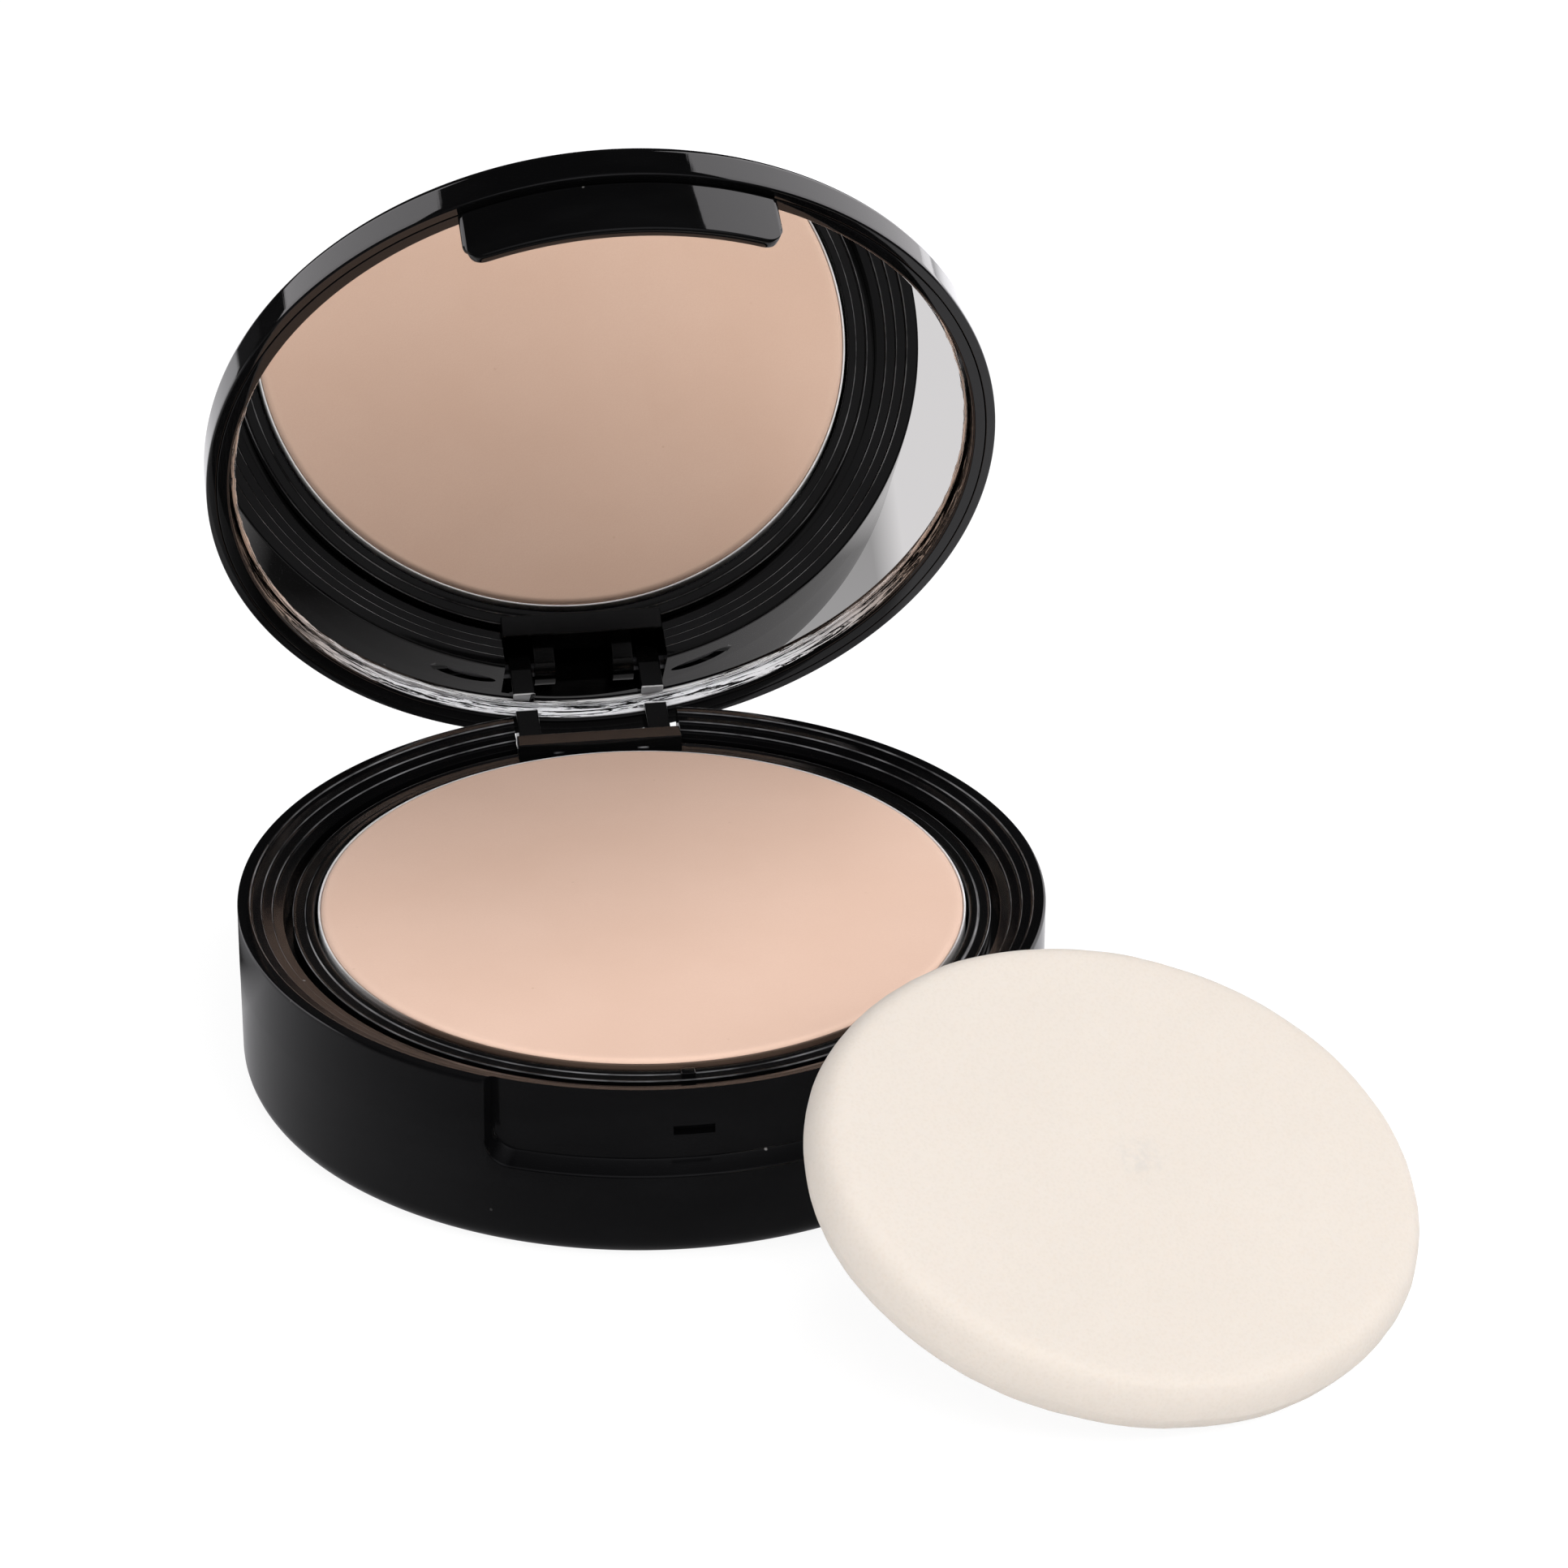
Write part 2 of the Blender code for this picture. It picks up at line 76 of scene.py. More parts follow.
POWDER_RADIUS = 0.02984
POWDER_TOP = 0.01599
LID_Z = 0.0172
LID_TOP_Z = 0.0218
LID_CEILING = 0.02065
BEZEL_OUTER = 0.0365
BEZEL_INNER = 0.03535
MIRROR_FACE = 0.0188
MIRROR_BACK = 0.0198
MIRROR_RADIUS = 0.03505
TAB_LOW = 0.0107
TAB_ANGLE = 22.8
TAB_INNER = 0.0359
TAB_OUTER = 0.0369
TAB_CORNER = 0.0018
OPEN_ANGLE = 69.2
SPONGE_RADIUS = 0.02636
SPONGE_OVAL = 0.064
SPONGE_HALF = 0.0035
SPONGE_ROUND = 0.0027
SPONGE_TILT = 25.0
SPONGE_DOWNHILL = -59.1
SPONGE_TURN = 64.8

# Small parts of the hinge and the latch. A lug starts at each of the given places along the hinge.
# The web is wider than the CAD model's, so that no light shows past its ends.
EYE_REACH_TRAY = 0.00205
EYE_STARTS_TRAY = (-0.00495, 0.0029)
EYE_REACH_LID = 0.0022
EYE_STARTS_LID = (-0.0075, 0.0053)
BORE_RADIUS = 0.00105
BORE_REACH = 0.0225
NOTCH_HALF = 0.0081
NOTCH_DEPTH = 0.0075
NOTCH_ROOM = 0.0012
WEB_LEFT = -0.00805
WEB_RIGHT = 0.00797
WEB_DROP = 0.0004
NIB_HALF = 0.00065
SLOT_HALF = 0.00185
SLOT_LOW = 0.01175
SLOT_HIGH = 0.01265
HOOK_HALF = 0.00166
HOOK_LOW = 0.01189
HOOK_HIGH = 0.01251
NECK_HALF = 0.0075

# The round of an edge and of the recess's lip, where the flat panel starts past that lip, and how
# finely round pieces are turned.
EDGE = 0.00012
LIP_ROUND = 0.00022
PANEL_START = 0.00025
STEPS = 288
SHARP_ANGLE = 38.0

# The edges of the rim's steps and of the tray's ring where a highlight is painted into the colour,
# as (radius, height).
RIM_HIGHLIGHT_EDGES = (
    (0.03632, BASE_HEIGHT - 0.00003),
    (0.03528, BASE_HEIGHT - 0.0005),
    (0.03428, BASE_HEIGHT - 0.00093),
)
RING_HIGHLIGHT_EDGES = ((TRAY_WELL + 0.00088, TRAY_TOP), (TRAY_RADIUS - 0.00003, TRAY_TOP))

# Colours that several looks share, or that a look is given.
DUST = (0.42, 0.41, 0.40)
# A painted highlight for the edges of the rim's steps and the tray's ring.
PAINTED_EDGE_HIGHLIGHT = (0.26, 0.26, 0.27)
# A painted reflection of the powder and a painted white highlight, for the streaks round the
# mirror.
PAINTED_POWDER_REFLECTION = (0.42, 0.32, 0.26)
PAINTED_WHITE_HIGHLIGHT = (0.80, 0.80, 0.82)
# Painted shade for the front of the pan's rim.
PAINTED_FRONT_SHADE = (0.12, 0.08, 0.06)

# The studio, in metres and degrees, with the lens in millimetres.
CAMERA_PLACE = (-0.05906, -0.46592, 0.27601)
CAMERA_BEARING = 8.8246
CAMERA_DROP = 27.8442
CAMERA_ROLL = 0.3857
CAMERA_LENS = 132.46
PANEL_AWAY = 0.8
FLOOR_HALF = 3.0
FLOOR_DROP = 0.00005


# Mesh building.


def soften(points, segments=3):
    """Rounds the corners of a profile of (radius, height, corner size) points."""
    made = []
    for i, (r, z, size) in enumerate(points):
        here = Vector((r, z))
        if size == 0.0 or i in (0, len(points) - 1):
            made.append((r, z))
            continue
        before = Vector(points[i - 1][:2]) - here
        after = Vector(points[i + 1][:2]) - here
        a = here + before.normalized() * min(size, before.length * 0.45)
        b = here + after.normalized() * min(size, after.length * 0.45)
        for k in range(segments + 1):
            t = k / segments
            point = (1 - t) ** 2 * a + 2 * t * (1 - t) * here + t * t * b
            made.append((point.x, point.y))
    return made


def skin(bm, rings, closed=False):
    """Faces between rings of the same count of points; a ring of one point is a pole."""
    pairs = list(zip(rings, rings[1:]))
    if closed:
        pairs.append((rings[-1], rings[0]))
    for first, second in pairs:
        count = max(len(first), len(second))
        for i in range(count):
            j = (i + 1) % count
            if len(first) == 1:
                bm.faces.new((first[0], second[j], second[i]))
            elif len(second) == 1:
                bm.faces.new((first[i], first[j], second[0]))
            else:
                bm.faces.new((first[i], first[j], second[j], second[i]))


def mesh_of(name, bm, sharp=SHARP_ANGLE):
    """A smooth-shaded mesh with its normals out, and edges past the sharp angle kept crisp."""
    mesh = bpy.data.meshes.new(name)
    bmesh.ops.recalc_face_normals(bm, faces=bm.faces)
    bm.to_mesh(mesh)
    bm.free()
    mesh.shade_smooth()
    mesh.set_sharp_from_angle(angle=radians(sharp))
    return mesh


def lathe_mesh(name, profile, closed=False):
    """A profile of (radius, height) points turned round the compact's axis."""
    bm = bmesh.new()
    turns = [2 * pi * i / STEPS for i in range(STEPS)]
    rings = []
    for r, z in profile:
        if r < 1e-7:
            rings.append([bm.verts.new((0.0, 0.0, z))])
        else:
            rings.append([bm.verts.new((r * sin(t), -r * cos(t), z)) for t in turns])
    skin(bm, rings, closed)
    return mesh_of(name, bm)


def round_edges(bm, edges, size):
    bmesh.ops.bevel(bm, geom=edges, offset=size, segments=3, profile=0.5, affect="EDGES")


def box_mesh(name, low, high, bevel=0.0):
    bm = bmesh.new()
    bmesh.ops.create_cube(bm, size=1.0)
    bmesh.ops.scale(bm, vec=[b - a for a, b in zip(low, high)], verts=bm.verts)
    middle = [(a + b) / 2 for a, b in zip(low, high)]
    bmesh.ops.translate(bm, vec=middle, verts=bm.verts)
    if bevel:
        round_edges(bm, bm.edges[:], bevel)
    return mesh_of(name, bm)


def plate_mesh(name, outline, x_low, x_high):
    """A plate across X from an outline of (y, z) points, its edges rounded."""
    bm = bmesh.new()
    rings = [[bm.verts.new((x, y, z)) for y, z in outline] for x in (x_low, x_high)]
    skin(bm, rings)
    rim = [bm.faces.new(rings[0]), bm.faces.new(list(reversed(rings[1])))]
    edges = list({edge for face in rim for edge in face.edges})
    round_edges(bm, edges, EDGE)
    return mesh_of(name, bm)


def rod_mesh(name, radius, x_low, x_high, segments=48):
    """A rod on the hinge's axis."""
    bm = bmesh.new()
    turns = [2 * pi * i / segments for i in range(segments)]
    ring = [(HINGE_Y + radius * cos(t), HINGE_Z + radius * sin(t)) for t in turns]
    rings = [[bm.verts.new((x, y, z)) for y, z in ring] for x in (x_low, x_high)]
    skin(bm, rings)
    bm.faces.new(rings[0])
    bm.faces.new(list(reversed(rings[1])))
    return mesh_of(name, bm)


def arc_plate_mesh(name, section, half_angle, corner, edge, columns=40):
    """A (radius, height) section swept round the front, with its lower corners and ends rounded."""
    bm = bmesh.new()
    outer = max(r for r, z in section)
    inner = min(r for r, z in section)
    middle = (outer + inner) / 2
    low = min(z for r, z in section)
    reach = outer * radians(half_angle)
    flat = reach - corner
    stations = []
    for i in range(columns + 1):
        stations.append((flat * i / columns, 0.0, 0.0))
    for i in range(1, 13):
        turn = pi / 2 * i / 12
        stations.append((flat + corner * sin(turn), corner * (1 - cos(turn)), 0.0))
    along, rise, _ = stations[-1]
    for i in range(1, 4):
        turn = pi / 2 * i / 3
        inset = edge * (1 - cos(turn))
        stations.append((along + edge * (sin(turn) - 0.02), rise + inset, inset))
    mirrored = [(-s, rise, inset) for s, rise, inset in reversed(stations[1:])] + stations
    rings = []
    for along, rise, inset in mirrored:
        turn = along / outer
        ring = []
        for r, z in section:
            height = z + rise if z < low + corner * 0.5 else z
            pull = min(inset, abs(r - middle)) * (1 if r < middle else -1)
            ring.append(bm.verts.new(((r + pull) * sin(turn), -(r + pull) * cos(turn), height)))
        rings.append(ring)
    skin(bm, rings)
    bm.faces.new(rings[0])
    bm.faces.new(list(reversed(rings[-1])))
    return mesh_of(name, bm, 50.0)


def joined(name, meshes):
    bm = bmesh.new()
    for mesh in meshes:
        bm.from_mesh(mesh)
        bpy.data.meshes.remove(mesh)
    made = bpy.data.meshes.new(name)
    bm.to_mesh(made)
    bm.free()
    return made


def carved(mesh, tool):
    """The mesh with the tool's mesh cut out of it."""
    scene = bpy.context.scene.collection
    body = bpy.data.objects.new("carving", mesh)
    cutter = bpy.data.objects.new("cutter", tool)
    scene.objects.link(body)
    scene.objects.link(cutter)
    step = body.modifiers.new("Cut", "BOOLEAN")
    step.operation = "DIFFERENCE"
    step.solver = "EXACT"
    step.object = cutter
    bpy.context.view_layer.update()
    graph = bpy.context.evaluated_depsgraph_get()
    made = bpy.data.meshes.new_from_object(body.evaluated_get(graph))
    made.name = mesh.name
    bpy.data.objects.remove(body)
    bpy.data.objects.remove(cutter)
    bpy.data.meshes.remove(tool)
    bpy.data.meshes.remove(mesh)
    made.set_sharp_from_angle(angle=radians(SHARP_ANGLE))
    return made


def piece(name, mesh, look, body, nodes, matrix=None):
    """A visible piece: its look, the CAD body that carries it and the CAD nodes it replaces."""
    made = bpy.data.objects.new(name, mesh)
    bpy.context.scene.collection.objects.link(made)
    mesh.materials.clear()
    mesh.materials.append(look)
    if matrix:
        made.matrix_world = matrix
    weighted = made.modifiers.new("Weighted normals", "WEIGHTED_NORMAL")
    weighted.keep_sharp = True
    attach(made, body)
    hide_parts(*nodes)
    return made


# Node materials.


class Look:
    """A material under construction, with short calls for the nodes it needs."""

    def __init__(self, name, roughness=0.5, metallic=0.0, specular=0.5):
        self.material = bpy.data.materials.new(name)
        self.material.use_nodes = True
        self.tree = self.material.node_tree
        self.shader = self.tree.nodes["Principled BSDF"]
        self.shader.inputs["Roughness"].default_value = roughness
        self.shader.inputs["Metallic"].default_value = metallic
        self.shader.inputs["Specular IOR Level"].default_value = specular

    def node(self, kind, **values):
        made = self.tree.nodes.new(kind)
        for key, value in values.items():
            setattr(made, key, value)
        return made

    def link(self, start, end):
        self.tree.links.new(start, end)

    def feed(self, socket, value):
        if isinstance(value, bpy.types.NodeSocket):
            self.link(value, socket)
        else:
            socket.default_value = value

    def place(self):
        return self.node("ShaderNodeTexCoord").outputs["Object"]

    def math(self, operation, first, second=0.0, clamp=False):
        made = self.node("ShaderNodeMath", operation=operation, use_clamp=clamp)
        self.feed(made.inputs[0], first)
        self.feed(made.inputs[1], second)
        return made.outputs[0]

    def noise(self, where, scale, detail=2.0, rough=0.5, warp=0.0):
        made = self.node("ShaderNodeTexNoise")
        self.link(where, made.inputs["Vector"])
        made.inputs["Scale"].default_value = scale
        made.inputs["Detail"].default_value = detail
        made.inputs["Roughness"].default_value = rough
        made.inputs["Distortion"].default_value = warp
        return made.outputs["Fac"]

    def cells(self, where, scale, feature="F1"):
        made = self.node("ShaderNodeTexVoronoi", feature=feature)
        self.link(where, made.inputs["Vector"])
        made.inputs["Scale"].default_value = scale
        return made

    def stretch(self, where, scale):
        made = self.node("ShaderNodeMapping")
        self.link(where, made.inputs["Vector"])
        made.inputs["Scale"].default_value = scale
        return made.outputs["Vector"]

    def ramp(self, value, low, high, start=0.0, end=1.0):
        made = self.node("ShaderNodeMapRange")
        self.feed(made.inputs["Value"], value)
        made.inputs["From Min"].default_value = low
        made.inputs["From Max"].default_value = high
        made.inputs["To Min"].default_value = start
        made.inputs["To Max"].default_value = end
        return made.outputs["Result"]

    def blend(self, factor, first, second):
        made = self.node("ShaderNodeMix", data_type="RGBA")
        self.feed(made.inputs[0], factor)
        for socket, value in ((made.inputs[6], first), (made.inputs[7], second)):
            self.feed(socket, (*value, 1.0) if isinstance(value, tuple) else value)
        return made.outputs[2]

    def split(self, where):
        made = self.node("ShaderNodeSeparateXYZ")
        self.link(where, made.inputs[0])
        return made.outputs

    def radius(self, where):
        x, y, _ = self.split(where)
        squares = self.math("ADD", self.math("MULTIPLY", x, x), self.math("MULTIPLY", y, y))
        return self.math("SQRT", squares)

    def polar(self, where, around, out, up=0.0):
        """Coordinates that run round the compact's axis, for marks left by turning and wiping."""
        x, y, z = self.split(where)
        made = self.node("ShaderNodeCombineXYZ")
        self.link(self.math("MULTIPLY", self.math("ARCTAN2", y, x), around), made.inputs[0])
        self.link(self.math("MULTIPLY", self.radius(where), out), made.inputs[1])
        self.link(self.math("MULTIPLY", z, up), made.inputs[2])
        return made.outputs[0]

    def bump(self, height, strength, distance, before=None):
        made = self.node("ShaderNodeBump")
        made.inputs["Strength"].default_value = strength
        made.inputs["Distance"].default_value = distance
        self.link(height, made.inputs["Height"])
        if before:
            self.link(before, made.inputs["Normal"])
        return made.outputs["Normal"]

    def set(self, name, value):
        self.feed(self.shader.inputs[name], value)


def painted_edge_highlights(look, where, edges, colour):
    """Broken painted highlights along turned edges, each given as (radius, height)."""
    for edge_radius, edge_height in edges:
        off = look.math("ABSOLUTE", look.math("SUBTRACT", look.radius(where), edge_radius))
        drop = look.math("ABSOLUTE", look.math("SUBTRACT", look.split(where)[2], edge_height))
        close = look.ramp(off, 0.00008, 0.00003)
        level = look.ramp(drop, 0.00013, 0.00009)
        line = look.math("MULTIPLY", close, level, True)
        broken = look.noise(look.polar(where, 3.0, 0.0, 0.0), 1.3, 4.0, 0.6)
        # Noise breaks each painted highlight into pieces along the edge.
        highlight_share = look.ramp(broken, 0.40, 0.66, 0.05, 0.75)
        colour = look.blend(look.math("MULTIPLY", line, highlight_share), colour, PAINTED_EDGE_HIGHLIGHT)
    return colour


def bezel_wall_painted_streaks(look, where, colour, normal):
    """The bezel's wavy inner wall: pale streaks painted beside the mirror, densest by the hinge,
    peach as a painted reflection of the powder and white as a painted highlight by the hinge.
    """
    _, back, height = look.split(where)
    inside = look.math("LESS_THAN", look.radius(where), BEZEL_INNER + 0.00006)
    wall = look.math("MULTIPLY", inside, look.ramp(height, LID_Z + 0.0004, LID_Z + 0.0006))
    waves = look.noise(look.polar(where, 3.6, 0.0, 1500.0), 1.7, 5.0, 0.72, 1.0)
    normal = look.bump(look.math("MULTIPLY", waves, wall), 0.9, 0.00010, normal)
    # Where the waves rise over a limit that falls towards the hinge, a pale streak is painted:
    # painted reflection and painted highlight.
    over = look.math("SUBTRACT", waves, look.ramp(back, -0.005, 0.030, 0.62, 0.455))
    painted_streak = look.math("MULTIPLY", look.ramp(over, 0.0, 0.03), wall, True)
    painted_streak = look.math("MULTIPLY", painted_streak, look.ramp(back, -0.020, 0.0), True)
    painted_streak_colour = look.blend(look.ramp(back, 0.018, 0.030), PAINTED_POWDER_REFLECTION, PAINTED_WHITE_HIGHLIGHT)
    return look.blend(painted_streak, colour, painted_streak_colour), normal


def plastic(name, colour, roughness, specular, dust, brushing=0.0, wavy_wall_painted_streaks=False, edges=()):
    """Glossy moulded plastic with faint flow marks, fine wiping scratches and specks of dust; given
    edges get painted highlights along them, and the bezel's wall gets painted streaks.
    """
    look = Look(name, roughness, 0.0, specular)
    where = look.place()
    specks = look.cells(where, 620.0)
    size = look.ramp(specks.outputs["Distance"], 0.12, 0.04)
    few = look.ramp(look.split(specks.outputs["Color"])[0], 0.925, 0.960)
    drift = look.ramp(look.noise(where, 90.0, 2.0), 0.48, 0.66)
    lint = look.math("MULTIPLY", look.math("MULTIPLY", size, few, True), drift, True)
    lint = look.math("MULTIPLY", lint, dust, True)
    haze = look.noise(look.stretch(where, (1.0, 1.0, 2.5)), 55.0, 4.0, 0.6)
    lighter = tuple(1.5 * c + 0.0006 for c in colour)
    base = look.blend(look.ramp(haze, 0.42, 0.75), colour, lighter)
    # The given edges get painted highlights in the colour.
    shown = painted_edge_highlights(look, where, edges, look.blend(lint, base, DUST))
    wipes = look.noise(look.polar(where, 6.0, 900.0, 900.0), 3.0, 3.0, 0.6)
    marks = look.math("ADD", look.math("MULTIPLY", haze, 0.6), look.math("MULTIPLY", wipes, 0.4))
    gloss = look.ramp(marks, 0.3, 0.75, roughness * 0.75, roughness * 1.5)
    look.set("Roughness", look.math("ADD", gloss, look.math("MULTIPLY", lint, 0.5), True))
    normal = look.bump(look.noise(where, 210.0, 2.0), 0.05, 0.0002)
    if brushing:
        lines = look.noise(look.polar(where, 95.0, 25.0, 12.0), 5.0, 2.0, 0.55)
        normal = look.bump(lines, brushing, 0.0001, normal)
    # The bezel's inner wall: a real bump from the waves, and painted streaks of reflected powder
    # and highlight.
    if wavy_wall_painted_streaks:
        shown, normal = bezel_wall_painted_streaks(look, where, shown, normal)
    look.set("Base Color", shown)
    look.set("Normal", look.bump(lint, 0.5, 0.00004, normal))
    return look.material


def powder_look(name):
    """Pressed face powder: fine grain, faint mottling, slight sheen and a paler worn edge."""
    look = Look(name, 0.82, 0.0, 0.28)
    where = look.place()
    grain = look.noise(where, 5200.0, 2.0, 0.7)
    cloud = look.noise(where, 70.0, 3.0, 0.55)
    clump = look.noise(where, 900.0, 3.0, 0.6)
    base = look.blend(look.ramp(cloud, 0.3, 0.7), (0.626, 0.430, 0.334), (0.652, 0.456, 0.360))
    base = look.blend(look.ramp(grain, 0.35, 0.65, 0.0, 0.22), base, (0.59, 0.388, 0.302))
    dot = look.cells(where, 520.0)
    few = look.ramp(look.split(dot.outputs["Color"])[1], 0.972, 0.985)
    pit = look.math("MULTIPLY", look.ramp(dot.outputs["Distance"], 0.10, 0.05), few, True)
    # The pits are dented by the bump and painted darker in colour, a painted shade in their
    # hollows.
    base = look.blend(look.math("MULTIPLY", pit, 0.35), base, (0.42, 0.26, 0.18))
    edge = look.ramp(look.radius(where), POWDER_RADIUS - 0.0011, POWDER_RADIUS - 0.0001)
    look.set("Base Color", look.blend(look.math("MULTIPLY", edge, 0.30), base, (0.71, 0.52, 0.42)))
    look.set("Sheen Weight", 0.12)
    look.set("Sheen Roughness", 0.5)
    normal = look.bump(grain, 0.16, 0.00006)
    normal = look.bump(clump, 0.10, 0.00012, normal)
    look.set("Normal", look.bump(pit, 0.25, -0.00008, normal))
    return look.material


def metal_look(name, colour, roughness, around, out, metallic=1.0, front_shade=None):
    """Bare metal with fine drawn lines and a little tarnish; if given a front shade colour, its
    front is darkened towards it, a painted shade.
    """
    look = Look(name, roughness, metallic, 0.5)
    where = look.place()
    lines = look.noise(look.polar(where, around, out, out), 2.0, 3.0, 0.6)
    tarnish = look.noise(where, 260.0, 3.0)
    darker = tuple(c * 0.78 for c in colour)
    base = look.blend(look.ramp(tarnish, 0.45, 0.8), colour, darker)
    # The front of the rim is darkened in colour towards the given shade, a painted shade.
    if front_shade:
        base = look.blend(look.ramp(look.split(where)[1], -0.004, -0.020), base, front_shade)
    look.set("Base Color", base)
    look.set("Roughness", look.ramp(lines, 0.3, 0.7, roughness * 0.7, roughness * 1.5))
    look.set("Normal", look.bump(lines, 0.12, 0.00004))
    return look.material


def mirror_look(name):
    """Silvered glass: a clear flat face, a thin uneven ground edge with pale streaks painted on it,
    and a few dust specks; the streaks are a painted reflection of the powder, white as a painted
    highlight by the hinge.
    """
    look = Look(name, 0.0, 1.0, 0.5)
    where = look.place()
    radius = look.radius(where)
    y = look.split(where)[1]
    lower = look.ramp(y, -0.026, 0.024)
    inner = look.ramp(lower, 0.0, 1.0, MIRROR_RADIUS - 0.0002, MIRROR_RADIUS - 0.0006)
    drift = look.math("SUBTRACT", look.noise(look.polar(where, 12.0, 0.0), 1.0, 3.0), 0.5)
    drift = look.math("MULTIPLY", drift, 0.0005)
    past = look.math("SUBTRACT", look.math("ADD", radius, drift), inner)
    bevel = look.ramp(past, 0.0, 0.00008)
    waves = look.noise(look.polar(where, 5.0, 3300.0), 1.7, 4.0, 0.68, 0.5)
    specks = look.cells(where, 700.0)
    few = look.ramp(look.split(specks.outputs["Color"])[0], 0.985, 0.992)
    lint = look.math("MULTIPLY", look.ramp(specks.outputs["Distance"], 0.08, 0.03), few, True)
    smear = look.noise(where, 40.0, 3.0, 0.6)
    face = look.blend(look.ramp(smear, 0.35, 0.75), (0.830, 0.820, 0.800), (0.815, 0.808, 0.790))
    # Pale streaks painted on the ground edge: a painted reflection of the powder, white as a
    # painted highlight by the hinge.
    painted_streak = look.math("MULTIPLY", look.ramp(waves, 0.46, 0.50), bevel, True)
    painted_edge_light = look.blend(look.ramp(y, 0.014, 0.026), (0.72, 0.52, 0.41), (0.86, 0.86, 0.88))
    base = look.blend(painted_streak, face, painted_edge_light)
    look.set("Metallic", look.math("SUBTRACT", 1.0, painted_streak, True))
    look.set("Base Color", look.blend(look.math("MULTIPLY", lint, 0.35), base, (0.55, 0.54, 0.53)))
    dull = look.math("MULTIPLY", lint, 0.4)
    rough = look.math("ADD", look.math("MULTIPLY", bevel, 0.12), dull, True)
    look.set("Roughness", look.math("ADD", rough, look.ramp(smear, 0.6, 0.8, 0.0, 0.006), True))
    ground = look.math("MULTIPLY", look.math("SUBTRACT", waves, 0.5), bevel)
    look.set("Normal", look.bump(ground, 0.9, 0.00035))
    return look.material


def foam_look(name, smudge):
    """Cream latex foam: fine open cells on a soft, slightly translucent body."""
    look = Look(name, 0.9, 0.0, 0.18)
    where = look.place()
    cell = look.cells(where, 3100.0, "SMOOTH_F1")
    fine = look.noise(where, 4200.0, 2.0, 0.6)
    cloud = look.noise(where, 45.0, 3.0, 0.6)
    base = look.blend(look.ramp(cloud, 0.3, 0.7), (0.540, 0.490, 0.440), (0.555, 0.505, 0.456))
    # The cells' hollows are painted darker, a painted shade in the pores.
    painted_pore_shade = look.ramp(cell.outputs["Distance"], 0.50, 0.15, 0.0, 0.18)
    base = look.blend(painted_pore_shade, base, (0.48, 0.42, 0.36))
    smudge_at = look.node("ShaderNodeVectorMath", operation="DISTANCE")
    look.link(where, smudge_at.inputs[0])
    smudge_at.inputs[1].default_value = smudge
    near = look.ramp(smudge_at.outputs["Value"], 0.0030, 0.0008)
    mark = look.math("MULTIPLY", near, look.ramp(look.noise(where, 900.0, 3.0), 0.45, 0.62), True)
    look.set("Base Color", look.blend(look.math("MULTIPLY", mark, 0.45), base, (0.44, 0.42, 0.40)))
    look.set("Subsurface Weight", 0.22)
    look.set("Subsurface Radius", (0.0022, 0.0016, 0.0012))
    look.set("Subsurface Scale", 1.0)
    look.set("Sheen Weight", 0.10)
    look.set("Sheen Roughness", 0.6)
    normal = look.bump(cell.outputs["Distance"], 0.30, 0.00008)
    normal = look.bump(fine, 0.20, 0.00006, normal)
    look.set("Normal", look.bump(cloud, 0.25, 0.0004, normal))
    return look.material


def matte_look(name, colour, roughness, scale):
    """Paper, glue and tape: dull, with fibres or ripples at the given scale."""
    look = Look(name, roughness, 0.0, 0.3)
    where = look.place()
    fibre = look.noise(look.stretch(where, (1.0, 0.35, 1.0)), scale, 4.0, 0.65)
    darker = tuple(c * 0.88 for c in colour)
    look.set("Base Color", look.blend(look.ramp(fibre, 0.35, 0.7), colour, darker))
    look.set("Roughness", look.ramp(fibre, 0.3, 0.7, roughness * 0.85, min(1.0, roughness * 1.1)))
    look.set("Normal", look.bump(fibre, 0.2, 0.00005))
    return look.material


# The base.


def rim_profile():
    """The rim from its outer corner over three fine steps, then the ledge and the well."""
    top = BASE_HEIGHT
    fine = 0.00006
    return soften(
        [
            (BASE_RADIUS, top - 0.0004, 0.0),
            (BASE_RADIUS, top, 0.0003),
            (0.0364, top, 0.0001),
            (0.0363, top - 0.00008, fine),
            (0.03618, top - 0.0004, fine),
            (0.0353, top - 0.0005, fine),
            (0.03518, top - 0.00082, fine),
            (0.0343, top - 0.00093, fine),
            (0.03418, top - 0.00125, fine),
            (INNER_RADIUS, top - 0.0014, fine),
            (INNER_RADIUS, LEDGE_Z, fine),
            (WELL_RADIUS, LEDGE_Z, EDGE),
            (WELL_RADIUS, BASE_FLOOR, 0.0004),
            (0.0, BASE_FLOOR, 0.0),
        ]
    )


def rim_height(rim, radius):
    """The height of the rim's top where the latch panel meets it."""
    for (r0, z0), (r1, z1) in zip(rim, rim[1:]):
        if r1 <= radius <= r0 and r0 > r1:
            return z1 + (z0 - z1) * (radius - r1) / (r0 - r1)
    return BASE_HEIGHT


